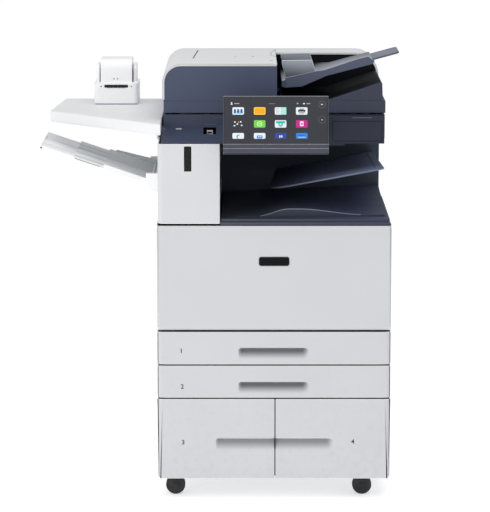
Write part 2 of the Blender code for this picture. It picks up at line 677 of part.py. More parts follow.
def build_extension(parent):
    """Flat slide that pulls out of the document tray's upper end."""
    half = EXTENSION_THICK / 2
    bm = box_bmesh((-0.070, 0.0770), EXTENSION_Y, (-half, half))
    round_edges(bm, 2, 0.012, 3, lambda m: m.x > 0.07)
    slide = mesh_object("document_tray_extension", bm)
    slide.data.transform(Matrix.Translation(EXTENSION_MIDDLE) @ Matrix.Rotation(-EXTENSION_ANGLE, 4, "Y"))
    place(slide, "document_tray_extension", LIGHT_MATERIAL, parent)


def build_guides(empties):
    """Two upright plates that hold the paper stack between them, just above the tray's bed."""
    for name, y, inward in (("document_guide_front", 0.188, 1), ("document_guide_rear", 0.392, -1)):
        wall = [(0.032, doc_floor(0.032) + 0.0006), (0.1125, doc_floor(0.1125) + 0.0006)]
        outline = [*wall, (0.101, 1.1615), (0.022, 1.1600), (0.022, 1.150)]
        plate_y = sorted((y, y - inward * 0.004))
        guide = prism(outline, plate_y, "XZ")
        place(guide, name, LIGHT_MATERIAL, empties[name])


# ------------------------------------------------------------------ shelf, stapler, bypass tray

def build_shelf():
    corner = arc((-0.5815, 0.345), 0.030, 180, 225, 3)
    outline = [(-0.2990, 0.012), (-0.2990, 0.650), (-0.588, 0.650), (-0.6105, 0.350), *corner[1:]]
    shelf = prism(outline, SHELF_Z, "XY")
    join(shelf, box((-0.3140, -0.3078), (0.160, 0.600), (0.9500, SHELF_Z[0] + 0.002)))
    place(shelf, "work_surface", WHITE_MATERIAL, ROOT)


def build_stapler():
    """Electric stapler: a low body with a slot for the sheets, a tall head and a rib on each side."""
    z = SHELF_Z[1] + 0.0003
    middle = -0.4370
    bm = box_bmesh((middle - 0.062, middle + 0.062), (0.492, 0.630), (z, 1.0680))
    round_edges(bm, 2, 0.014, 4, lambda m: True)
    body = mesh_object("stapler_body", bm)
    bm = box_bmesh((middle - 0.044, middle + 0.044), (0.500, 0.625), (z + 0.02, 1.1340))
    round_edges(bm, 0, 0.030, 5, lambda m: m.z > 1.1)
    join(body, mesh_object("head", bm))
    for side in (-1, 1):
        x = sorted((middle + side * 0.0475, middle + side * 0.0560))
        bm = box_bmesh(x, (0.515, 0.615), (z + 0.02, 1.1180))
        round_edges(bm, 0, 0.020, 4, lambda m: m.z > 1.1)
        join(body, mesh_object("rib", bm))
    cut(body, box((middle - 0.033, middle + 0.033), (0.48, 0.545), (1.0550, 1.0625)))
    place(body, "stapler_body", WARM_MATERIAL, ROOT)


def build_bypass_housing():
    """Cradle that holds the bypass tray's hinge, with a rounded underside and a cheek at each end."""
    x = (-0.342, COLUMN_X[0] - FIT)
    z = (0.813, 0.864)
    y = (0.118, 0.482)
    bm = box_bmesh(x, y, z)
    round_edges(bm, 1, 0.028, 6, lambda m: m.x < -0.34 and m.z < 0.82)
    housing = mesh_object("bypass_housing", bm)
    gap = 0.0008
    cut(housing, box((-0.36, -0.29), (BYPASS_Y[0] - gap, BYPASS_Y[1] + gap), (0.8205, 0.90)))
    cut(housing, cylinder(0.0036, 0.354, 12, 1, (BYPASS_PIVOT[0], 0.300, BYPASS_PIVOT[1])))
    place(housing, "bypass_housing", WHITE_MATERIAL, ROOT)


def nested_section(x, y, thickness, depth, drop):
    """One section of the bypass tray: a thin bed with a skirt along both sides, open underneath."""
    section = box(x, y, (-drop - depth, -drop))
    inside_y = (y[0] + 0.003, y[1] - 0.003)
    cut(section, box((x[0] - 0.01, x[1] + 0.01), inside_y, (-drop - depth - 0.01, -drop - thickness)))
    return section


def build_bypass(fold, slide_1, slide_2):
    """Three nested sections, drawn flat towards -X from the hinge and tilted with their empties."""
    main = nested_section((-0.1360, 0.0), BYPASS_Y, 0.0035, 0.0130, 0.0)
    for y in (BYPASS_Y[0] - 0.0042, BYPASS_Y[1] + 0.0042):
        join(main, cylinder(0.0032, 0.0140, 12, 1, (0.0, y, 0.0)))
    join(main, cylinder(0.0050, BYPASS_Y[1] - BYPASS_Y[0] - 0.0002, 12, 1, (-0.0005, 0.300, -0.0010)))
    rib = prism([(-0.118, -0.001), (0.002, -0.001), (0.002, 0.012), (-0.020, 0.012), (-0.118, 0.004)],
                (BYPASS_Y[1] - 0.004, BYPASS_Y[1] - 0.0001), "XZ")
    join(main, rib)
    place_tilted(main, "bypass_tray", LIGHT_MATERIAL, fold)

    inner_y = (BYPASS_Y[0] + 0.0035, BYPASS_Y[1] - 0.0035)
    first = nested_section((-0.2190, -0.0950), inner_y, 0.0030, 0.0075, 0.0040)
    place_tilted(first, "bypass_extension_1", LIGHT_MATERIAL, slide_1)

    inner_y = (inner_y[0] + 0.0120, inner_y[1] - 0.0120)
    stop_y = (inner_y[0] + 0.10, inner_y[1] - 0.10)
    second = box((-0.3140, -0.1900), inner_y, (-0.0112, -0.0075))
    join(second, box((-0.3140, -0.3100), stop_y, (-0.0130, -0.0040)))
    place_tilted(second, "bypass_extension_2", LIGHT_MATERIAL, slide_2)


# ------------------------------------------------------------------ casters

def build_caster(name, fork_parent, wheel_parent, x, y):
    """Swivelling fork with a stem in the base plate, and a wheel on the fork's axle."""
    wheel_x = x + CASTER_TRAIL
    fork = cylinder(0.0200, 0.0030, 24, 2, (x, y, 0.0560))
    join(fork, cylinder(0.0060, 0.0100, 16, 2, (x, y, 0.0595)))
    join(fork, box((x, wheel_x + 0.012), (y - 0.0155, y + 0.0155), (0.0546, 0.0574)))
    for side in (-1, 1):
        leg = [(x - 0.012, 0.0570), (wheel_x + 0.014, 0.0570)]
        leg += [(wheel_x + 0.008, 0.0200), (wheel_x - 0.008, 0.0200)]
        leg_y = sorted((y + side * 0.0125, y + side * 0.0155))
        join(fork, prism(leg, leg_y, "XZ"))
    join(fork, cylinder(0.0040, 0.0300, 12, 1, (wheel_x, y, WHEEL_RADIUS)))
    place(fork, name + "_fork", BLACK_MATERIAL, fork_parent)

    bm = cylinder_bmesh(WHEEL_RADIUS, 0.0230, 32, 1, (wheel_x, y, WHEEL_RADIUS))
    rim = [edge for edge in bm.edges if not edge_runs_along(edge, 1)]
    bmesh.ops.bevel(bm, geom=rim, offset=0.002, segments=1, affect="EDGES")
    wheel = mesh_object("wheel", bm, smooth=True)
    cut(wheel, cylinder(0.0043, 0.05, 12, 1, (wheel_x, y, WHEEL_RADIUS)))
    place(wheel, name + "_wheel", BLACK_MATERIAL, wheel_parent)


# ------------------------------------------------------------------ assembly

def build_all():
    build_frame()
    build_side_covers()
    build_rear_cover()
    build_power_inlet()
    build_column()
    build_left_upper_cover()
    build_lower_output_tray()
    build_rear_bay_cover()
    build_upper_output_tray()

    build_front_cover(make_empty("front_cover_hinge", (0, *COVER_PIVOT), ROOT))
    build_inner_front_panel()
    build_toner_cartridges()
    build_engine_units()
    build_trays({f"tray_{n}": make_empty(f"tray_{n}_slide", (0, PANEL, 0.1), ROOT) for n in (1, 2, 3, 4)})

    build_scanner()
    build_carriage(make_empty("carriage_slide", (-0.237, 0.150, 0.968), ROOT))
    build_wake_button(make_empty("wake_button_press", (BUTTON_X, BUTTON_Y, slope_height(BUTTON_Y)), ROOT))
    screen = make_empty("screen_tilt", (0, *SCREEN_PIVOT), ROOT)
    screen.rotation_euler = (-SCREEN_TILT, 0, 0)
    build_screen(screen)

    lid = make_empty("feeder_hinge", (0, SCAN_REAR, LID_Z[0]), ROOT)
    build_feeder_base(lid)
    build_feeder_rear_housing(lid)
    cover_axis = (TOP_COVER_PIVOT[0], 0.3, TOP_COVER_PIVOT[1])
    build_feeder_top_cover(child_empty("feeder_top_cover_hinge", cover_axis, lid))
    build_feed_roller(child_empty("feed_roller_axis", (ROLLER_X, 0.280, ROLLER_Z), lid))
    tray = child_empty("document_tray_hinge", (DOC_PIVOT[0], 0.3, DOC_PIVOT[1]), lid)
    build_document_tray(tray)
    build_extension(child_empty("extension_slide", EXTENSION_MIDDLE, tray))
    build_guides({
        "document_guide_front": child_empty("guide_front_slide", (0.06, 0.188, 1.12), tray),
        "document_guide_rear": child_empty("guide_rear_slide", (0.06, 0.392, 1.12), tray),
    })

    build_shelf()
    build_stapler()
    build_bypass_housing()
    fold = make_empty("bypass_hinge", (BYPASS_PIVOT[0], 0, BYPASS_PIVOT[1]), ROOT)
    fold.rotation_euler = (0, BYPASS_TILT, 0)
    slide_1 = make_empty("bypass_slide_1", (0, 0, 0), fold)
    slide_2 = make_empty("bypass_slide_2", (0, 0, 0), slide_1)
    build_bypass(fold, slide_1, slide_2)

    for x, across in zip(CASTER_X, ("left", "right")):
        for y, along in zip(CASTER_Y, ("front", "rear")):
            name = f"caster_{along}_{across}"
            swivel = make_empty(name + "_swivel", (x, y, 0.056), ROOT)
            axle = child_empty(name + "_axle", (x + CASTER_TRAIL, y, WHEEL_RADIUS), swivel)
            build_caster(name, swivel, axle, x, y)


def child_empty(name, spot, parent):
    """An empty at a place given in the cabinet's frame, under another unturned empty."""
    return make_empty(name, Vector(spot) - chain_offset(parent), parent)


clear_scene()
PARTS = make_collection("photocopier")
CUTTERS = make_collection("photocopier_cutters")
ROOT = bpy.data.objects.new("photocopier", None)
ROOT.location = (-sum(BOX_X) / 2, -sum(BOX_Y) / 2, 0.0)
PARTS.objects.link(ROOT)
WHITE_MATERIAL = make_material("white_panel", WHITE, 0.45)
WARM_MATERIAL = make_material("warm_white", WARM_WHITE, 0.45)
NAVY_MATERIAL = make_material("navy_panel", NAVY, 0.5)
DARK_MATERIAL = make_material("dark_navy", DARK_NAVY, 0.55)
GREY_MATERIAL = make_material("grey_plastic", GREY, 0.5)
LIGHT_MATERIAL = make_material("light_grey", LIGHT_GREY, 0.45)
BLACK_MATERIAL = make_material("black_plastic", BLACK, 0.35)
STEEL_MATERIAL = make_material("steel", STEEL, 0.35, 0.9)
GLASS_MATERIAL = make_material("glass", (0.55, 0.62, 0.62), 0.05)
build_all()
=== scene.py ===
"""Looks of the photocopier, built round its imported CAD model.

Every CAD node is replaced by a refined copy of itself: welded, with grooves and slots cut where the real
cover has them, and with rounded edges. Small pieces are then added: the touch screen's display, the badge
plate, tray numbers, screws and the like. Lengths are metres. Positions are in the cabinet's frame: X from
the cabinet's middle, Y back from its front face, Z above the floor. SHIFT takes them to the model's frame.
"""

import json
import math

import bmesh
import bpy
from mathutils import Matrix, Vector

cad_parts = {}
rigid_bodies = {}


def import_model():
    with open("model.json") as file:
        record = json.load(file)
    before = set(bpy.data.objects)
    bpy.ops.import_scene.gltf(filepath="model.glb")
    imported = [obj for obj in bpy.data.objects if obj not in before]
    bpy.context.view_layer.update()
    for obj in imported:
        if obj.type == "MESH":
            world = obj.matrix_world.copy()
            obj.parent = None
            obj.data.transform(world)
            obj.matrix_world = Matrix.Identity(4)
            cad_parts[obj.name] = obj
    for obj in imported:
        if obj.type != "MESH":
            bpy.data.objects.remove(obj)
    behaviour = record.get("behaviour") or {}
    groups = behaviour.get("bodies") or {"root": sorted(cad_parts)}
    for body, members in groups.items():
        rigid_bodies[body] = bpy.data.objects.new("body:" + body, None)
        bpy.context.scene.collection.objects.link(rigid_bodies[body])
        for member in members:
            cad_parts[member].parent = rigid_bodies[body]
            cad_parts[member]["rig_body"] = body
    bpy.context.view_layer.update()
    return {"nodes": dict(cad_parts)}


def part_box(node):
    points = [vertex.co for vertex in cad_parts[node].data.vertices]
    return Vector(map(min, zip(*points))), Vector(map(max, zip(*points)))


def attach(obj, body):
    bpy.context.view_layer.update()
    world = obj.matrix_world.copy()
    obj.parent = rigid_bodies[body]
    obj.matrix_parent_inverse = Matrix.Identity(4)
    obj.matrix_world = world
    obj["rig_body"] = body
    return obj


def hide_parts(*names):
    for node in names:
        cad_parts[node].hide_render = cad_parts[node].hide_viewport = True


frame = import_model()

# ---- positions taken from the CAD model

COVER_LOW, COVER_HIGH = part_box("front_cover")
SHIFT = Vector(((COVER_LOW.x + COVER_HIGH.x) / 2, COVER_LOW.y, 0.0))
REAR = 0.655                # plane of the rear cover
HALF_WIDTH = (COVER_HIGH.x - COVER_LOW.x) / 2
SCREEN_PIVOT = Vector((0.0, -0.028, 0.985))
SCREEN_TILT = math.radians(22.3)
GLASS_FRONT = -0.0326       # front of the touch panel, in the tilted screen's own frame
DISPLAY_DROP = 0.0042       # how far the whole display sits below the layout given for its rows
DISPLAY_GLOW = 0.22
DISPLAY_LAYER = 0.00006     # how far each layer of the display stands in front of the one under it
DOT_RATE = 9000.0           # radians per metre of the display's dot grid
BYPASS_PIVOT = Vector((-0.325, 0.0, 0.843))
BYPASS_TILT = math.radians(18.6)
PANEL_BLOCK_TOP = 1.02245   # top and right side of the block right of the screen, whose copy is set back
PANEL_BLOCK_RIGHT = 0.29495     # by BLOCK_STEP, so that it and the housing round it keep a clean edge
BLOCK_STEP = 0.0012
CONSOLE_FRONT = 0.9585      # height of the sloping console at its front edge
CONSOLE_RISE = 0.034
CONSOLE_RUN = 0.115
CONSOLE_SLOPE = math.atan2(CONSOLE_RISE, CONSOLE_RUN)
MARK_Y = 0.094              # middle of the small light on the console
HUMP_FOOT = 0.7588          # height of the lower tray's front edge beside its hump, and of the hump over it
HUMP_HEIGHT = 0.0195
SIDE_X = 0.3105             # outer face of the side covers
STAPLER_X = -0.437          # middle of the stapler's mouth
INLET_X = 0.22              # middle of the power inlet and of the plate above it
SLIT_SPOT = (-0.213, 0.3915, 1.1577)
SLIT_TURN = math.radians(-2.1)
UPPER_TRAY_SLOPE = 0.057 / 0.309
DIGIT_SIZE = 0.017
SCREW_RADIUS = 0.0035
NUT_REACH = 0.0152          # from a caster wheel's middle to the face of its nuts

PANEL_CORNER = 0.014        # radius of the cabinet's upright front corners
PANEL_EDGE = 0.0026
SOFT_EDGE = 0.0012          # width of the rounded edges of large mouldings
SMALL_EDGE = 0.0005
SHARP_ANGLE = math.radians(32)
MANY_CORNERS = 30           # faces with more corners than this have holes in them and are split up
GRIP_BROW = 0.0042          # height over which a scoop reaches its full depth below its upper rim
GRIP_COLUMNS = 56           # steps of a scoop's surface from left to right, and from bottom to top
GRIP_ROWS = 44
GRIP_ROUND = 0.01           # radius of a scoop's upper left corner
CORNER_DEPTH = (-0.004, 0.026)      # Y range of the cutters that round the front panels' corners
CORNER_CLEAR = 0.003        # how far those cutters stand out past the panel's sides
LEAST_BEVEL = 0.02          # smallest share of the bevel width that a sharp edge keeps
ROOM_SHARE = 0.35           # share of the free room beside an edge that its bevel may take
WELD = 0.00001              # corners closer than this are one corner
NEAR = 0.00002              # places closer than this lie on the same plane
FLAT_ANGLE = math.radians(0.6)
CASTERS = ("front_left", "front_right", "rear_left", "rear_right")

CAMERA_PLACE = Vector((-0.077, -7.0, 1.83))
CAMERA_AIM = Vector((-0.077, 0.0, 0.66))
CAMERA_LENS = 189.0
FLOOR_GLOW = 0.5
FLOOR_REACH = 60.0
WORLD_LIGHT = 0.56


# ---- colours

def tone(red, green, blue):
    """A display colour, 0 to 255, as linear light."""
    linear = []
    for value in (red, green, blue):
        value /= 255
        linear.append(value / 12.92 if value <= 0.04045 else ((value + 0.055) / 1.055) ** 2.4)
    return tuple(linear)


def scaled(colour, factor):
    return tuple(min(1.0, part * factor) for part in colour)


PANEL_WHITE = tone(206, 207, 210)
COLUMN_WHITE = tone(212, 213, 216)
SHELL_WHITE = tone(224, 225, 228)
PAINTED_HIGHLIGHT_WHITE = tone(252, 252, 253)
SHELF_WHITE = tone(232, 233, 235)
STAPLER_WHITE = tone(248, 248, 249)
NAVY = tone(70, 78, 102)
CONSOLE_NAVY = tone(60, 68, 90)
SHADED_PANEL_NAVY = tone(29, 36, 54)
TRAY_NAVY = tone(61, 68, 90)
UPPER_TRAY_LIT_NAVY = tone(108, 116, 144)
DOCUMENT_NAVY = tone(72, 79, 101)
BAY_SHADE_TONE = tone(66, 73, 85)
HOUSING_GREY = tone(68, 70, 82)
BYPASS_LIGHT = tone(243, 244, 246)
BYPASS_SHADOW_TONE = tone(216, 220, 221)
CASTER_BLACK = tone(38, 38, 41)
INK_GREY = tone(30, 32, 36)


# ---- materials

class Shade:
    """One node material round a Principled shader. Patterns are in object coordinates, which are metres."""

    def __init__(self, name):
        self.material = bpy.data.materials.new(name)
        self.material.use_nodes = True
        self.tree = self.material.node_tree
        self.shader = self.tree.nodes["Principled BSDF"]
        self.coords = self.node("ShaderNodeTexCoord").outputs["Object"]

    def node(self, kind, **settings):
        made = self.tree.nodes.new(kind)
        for key, value in settings.items():
            setattr(made, key, value)
        return made

    def link(self, source, target):
        self.tree.links.new(source, target)

    def set(self, socket, value):
        self.shader.inputs[socket].default_value = value

    def drive(self, socket, source):
        self.link(source, self.shader.inputs[socket])

    def stretched(self, x, y, z):
        mapping = self.node("ShaderNodeMapping")
        mapping.inputs["Scale"].default_value = (x, y, z)
        self.link(self.coords, mapping.inputs["Vector"])
        return mapping.outputs["Vector"]

    def axis(self, name):
        split = self.node("ShaderNodeSeparateXYZ")
        self.link(self.coords, split.inputs["Vector"])
        return split.outputs[name]

    def noise(self, scale, detail=2.0, vector=None):
        texture = self.node("ShaderNodeTexNoise")
        texture.inputs["Scale"].default_value = scale
        texture.inputs["Detail"].default_value = detail
        self.link(vector or self.coords, texture.inputs["Vector"])
        return texture.outputs["Fac"]

    def cells(self, scale):
        texture = self.node("ShaderNodeTexVoronoi")
        texture.inputs["Scale"].default_value = scale
        self.link(self.coords, texture.inputs["Vector"])
        return texture.outputs["Distance"]

    def ramp(self, value, low, high, out_low=0.0, out_high=1.0):
        mapped = self.node("ShaderNodeMapRange")
        limits = {"From Min": low, "From Max": high, "To Min": out_low, "To Max": out_high}
        for name, number in limits.items():
            mapped.inputs[name].default_value = number
        self.link(value, mapped.inputs["Value"])
        return mapped.outputs["Result"]

    def maths(self, operation, first, second):
        made = self.node("ShaderNodeMath", operation=operation)
        for socket, value in zip(made.inputs, (first, second)):
            if isinstance(value, (int, float)):
                socket.default_value = value
            else:
                self.link(value, socket)
        return made.outputs["Value"]

    def blend(self, factor, first, second):
        mix = self.node("ShaderNodeMix", data_type="RGBA")
        self.link(factor, mix.inputs["Factor"])
        for socket, value in ((mix.inputs[6], first), (mix.inputs[7], second)):
            if isinstance(value, tuple):
                socket.default_value = (*value, 1.0)
            else:
                self.link(value, socket)
        return mix.outputs[2]

    def mottled(self, scale, detail, first, second):
        """Soft patches of two colours."""
        return self.blend(self.ramp(self.noise(scale, detail), 0.3, 0.7), first, second)

    def rough(self, scale, detail, low, high):
        """Roughness that wanders between two values."""
        self.drive("Roughness", self.ramp(self.noise(scale, detail), 0.3, 0.7, low, high))

    def relief(self, scale, detail, strength, distance):
        """Bumps of one size all over."""
        self.drive("Normal", self.bump(self.noise(scale, detail), strength, distance))

    def wave(self, axis, rate):
        return self.maths("SINE", self.maths("MULTIPLY", self.axis(axis), rate), 0.0)

    def bump(self, height, strength, distance, under=None):
        made = self.node("ShaderNodeBump")
        made.inputs["Strength"].default_value = strength
        made.inputs["Distance"].default_value = distance
        self.link(height, made.inputs["Height"])
        if under is not None:
            self.link(under, made.inputs["Normal"])
        return made.outputs["Normal"]


def moulded_colour(shade, colour, variation):
    """Slow mottling, as in a large moulding, and a little dust that gathers towards the floor."""
    base = shade.mottled(5.0, 3.0, scaled(colour, 1 - variation), scaled(colour, 1 + variation))
    low = shade.ramp(shade.axis("Z"), 0.02, 0.45, 1.0, 0.0)
    specks = shade.ramp(shade.noise(60.0, 4.0), 0.5, 0.72)
    dust = shade.maths("MULTIPLY", shade.maths("MULTIPLY", low, specks), 0.1)
    return shade.blend(dust, base, tone(150, 146, 140))


def between(shade, axis, start, end):
    """0 to 1 along an axis, between two places in the cabinet's frame."""
    offset = {"X": SHIFT.x, "Y": SHIFT.y, "Z": SHIFT.z}[axis]
    return shade.ramp(shade.axis(axis), offset + start, offset + end)


def seam_dirt(shade, base):
    """Painted shade: darkens the front panels with depth, inside their grips and in the seams between them.
    """
    deep = between(shade, "Y", 0.0006, 0.0105)
    from_middle = shade.maths("ABSOLUTE", shade.maths("SUBTRACT", shade.axis("X"), SHIFT.x), 0)
    inside = shade.maths("LESS_THAN", from_middle, 0.3)
    return shade.blend(shade.maths("MULTIPLY", deep, inside), base, tone(104, 106, 110))


def sheet_tail(shade, base):
    """Painted shade: darkens a surface towards the back of the output bay or the feeder."""
    return shade.blend(between(shade, "Y", 0.04, 0.4), base, tone(34, 38, 50))


# Painted light and shade: a colour ramp along an axis that stands in for how light falls across a part.
def fade(axis, start, end, dark):
    """A tint that runs from dark at one place along an axis to the moulding's own colour at another."""
    def tint(shade, base):
        return shade.blend(between(shade, axis, start, end), dark, base)
    return tint


def moulded(name, colour, roughness, grain=0.0011, depth=0.00006, variation=0.018, tint=None, shine=0.5):
    """Textured ABS: eroded grain, mottling, and smoother patches where hands have rubbed it."""
    shade = Shade(name)
    base = moulded_colour(shade, colour, variation)
    shade.drive("Base Color", tint(shade, base) if tint else base)
    shade.set("Specular IOR Level", shine)
    rubbed = shade.ramp(shade.noise(17.0, 4.0), 0.52, 0.7, 0.0, 0.07)
    fine = shade.ramp(shade.noise(420.0, 2.0), 0.3, 0.7, -0.03, 0.03)
    shade.drive("Roughness", shade.maths("ADD", shade.maths("SUBTRACT", fine, rubbed), roughness))
    coarse = shade.bump(shade.noise(1 / grain, 2.0), 0.35, depth)
    shade.drive("Normal", shade.bump(shade.cells(0.6 / grain), 0.2, depth, coarse))
    shade.set("IOR", 1.5)
    return shade.material


def polished(name, colour, roughness=0.09, shine=0.3):
    """Glossy moulding or coated glass with faint finger marks."""
    shade = Shade(name)
    shade.set("Specular IOR Level", shine)
    shade.drive("Base Color", shade.mottled(12.0, 3.0, scaled(colour, 0.96), scaled(colour, 1.05)))
    marks = shade.ramp(shade.noise(45.0, 5.0, shade.stretched(1.0, 1.0, 0.55)), 0.55, 0.75, 0.0, 0.14)
    shade.drive("Roughness", shade.maths("ADD", marks, roughness))
    shade.relief(30.0, 1.0, 0.05, 0.0001)
    return shade.material


def dotted_window(name):
    """Dark filter window with the dot raster of the sensors behind it."""
    shade = Shade(name)
    dots = shade.ramp(shade.cells(330.0), 0.12, 0.32)
    shade.drive("Base Color", shade.blend(dots, tone(70, 78, 70), tone(16, 18, 18)))
    shade.rough(60.0, 3.0, 0.16, 0.26)
    shade.set("Specular IOR Level", 0.2)
    return shade.material


def sheet_metal(name, colour, roughness):
    """Zinc-plated sheet: drawn scratches and a crystalline mottle."""
    shade = Shade(name)
    spangle = shade.ramp(shade.cells(70.0), 0.1, 0.6)
    shade.drive("Base Color", shade.blend(spangle, scaled(colour, 0.86), colour))
    lines = shade.noise(90.0, 3.0, shade.stretched(1.0, 1.0, 24.0))
    shade.drive("Roughness", shade.ramp(lines, 0.3, 0.7, roughness - 0.08, roughness + 0.08))
    shade.drive("Normal", shade.bump(lines, 0.15, 0.00008))
    shade.set("Metallic", 1.0)
    return shade.material


def rubber(name, colour, roughness, scale=500.0):
    """Rubber with a dusty bloom and fine pores."""
    shade = Shade(name)
    bloom = shade.ramp(shade.noise(38.0, 4.0), 0.42, 0.7)
    shade.drive("Base Color", shade.blend(bloom, colour, scaled(colour, 2.1)))
    shade.rough(80.0, 3.0, roughness - 0.07, roughness + 0.09)
    shade.relief(scale, 3.0, 0.35, 0.00015)
    shade.set("Specular IOR Level", 0.35)
    return shade.material


# Painted shade: the grooves are darkened, and the darker rear band is a painted shadow of the shelf above.
def ribbed(name, light, dark, pitch, rear_from, rib_shade):
    """Tray plastic with grooves along the way the paper moves, and a darker band towards its rear."""
    shade = Shade(name)
    ribs = shade.ramp(shade.wave("Y", 2 * math.pi / pitch), 0.4, 0.85)
    base = shade.blend(between(shade, "Y", rear_from, rear_from + 0.012), light, dark)
    shadow = shade.maths("MULTIPLY", ribs, rib_shade)
    shade.drive("Base Color", shade.blend(shadow, base, scaled(dark, 0.42)))
    shade.rough(35.0, 4.0, 0.4, 0.54)
    grain = shade.bump(shade.noise(900.0, 2.0), 0.25, 0.00005)
    shade.drive("Normal", shade.bump(ribs, 0.55, 0.0006, grain))
    return shade.material


def clear_glass(name):
    """Clear plate with faint smears."""
    shade = Shade(name)
    shade.set("Base Color", (0.93, 0.96, 0.95, 1.0))
    shade.set("Transmission Weight", 1.0)
    shade.set("IOR", 1.46)
    shade.drive("Roughness", shade.ramp(shade.noise(26.0, 5.0), 0.5, 0.8, 0.015, 0.1))
    shade.relief(8.0, 1.0, 0.03, 0.0001)
    return shade.material


def printed(name, colour):
    """Screen-printed ink, slightly uneven."""
    shade = Shade(name)
    shade.drive("Base Color", shade.mottled(260.0, 3.0, scaled(colour, 0.9), scaled(colour, 1.1)))
    shade.rough(120.0, 2.0, 0.42, 0.58)
    shade.relief(1500.0, 1.0, 0.15, 0.00003)
    return shade.material


def glowing(name, colour):
    """A lit area of the display: part reflected, part shining, with the display's fine dot grid."""
    shade = Shade(name)
    lit = shade.blend(shade.ramp(shade.wave("X", DOT_RATE), -1.0, 1.0), scaled(colour, 0.94), colour)
    shade.drive("Base Color", lit)
    shade.drive("Emission Color", lit)
    shade.set("Emission Strength", DISPLAY_GLOW)
    shade.rough(45.0, 4.0, 0.22, 0.34)
    return shade.material


def foam_sheet(name, colour):
    """White laminated foam, slightly dimpled."""
    shade = Shade(name)
    shade.drive("Base Color", shade.mottled(9.0, 4.0, scaled(colour, 0.95), colour))
    shade.rough(60.0, 2.0, 0.55, 0.7)
    shade.drive("Normal", shade.bump(shade.cells(260.0), 0.3, 0.0003))
    shade.set("Sheen Weight", 0.15)
    return shade.material


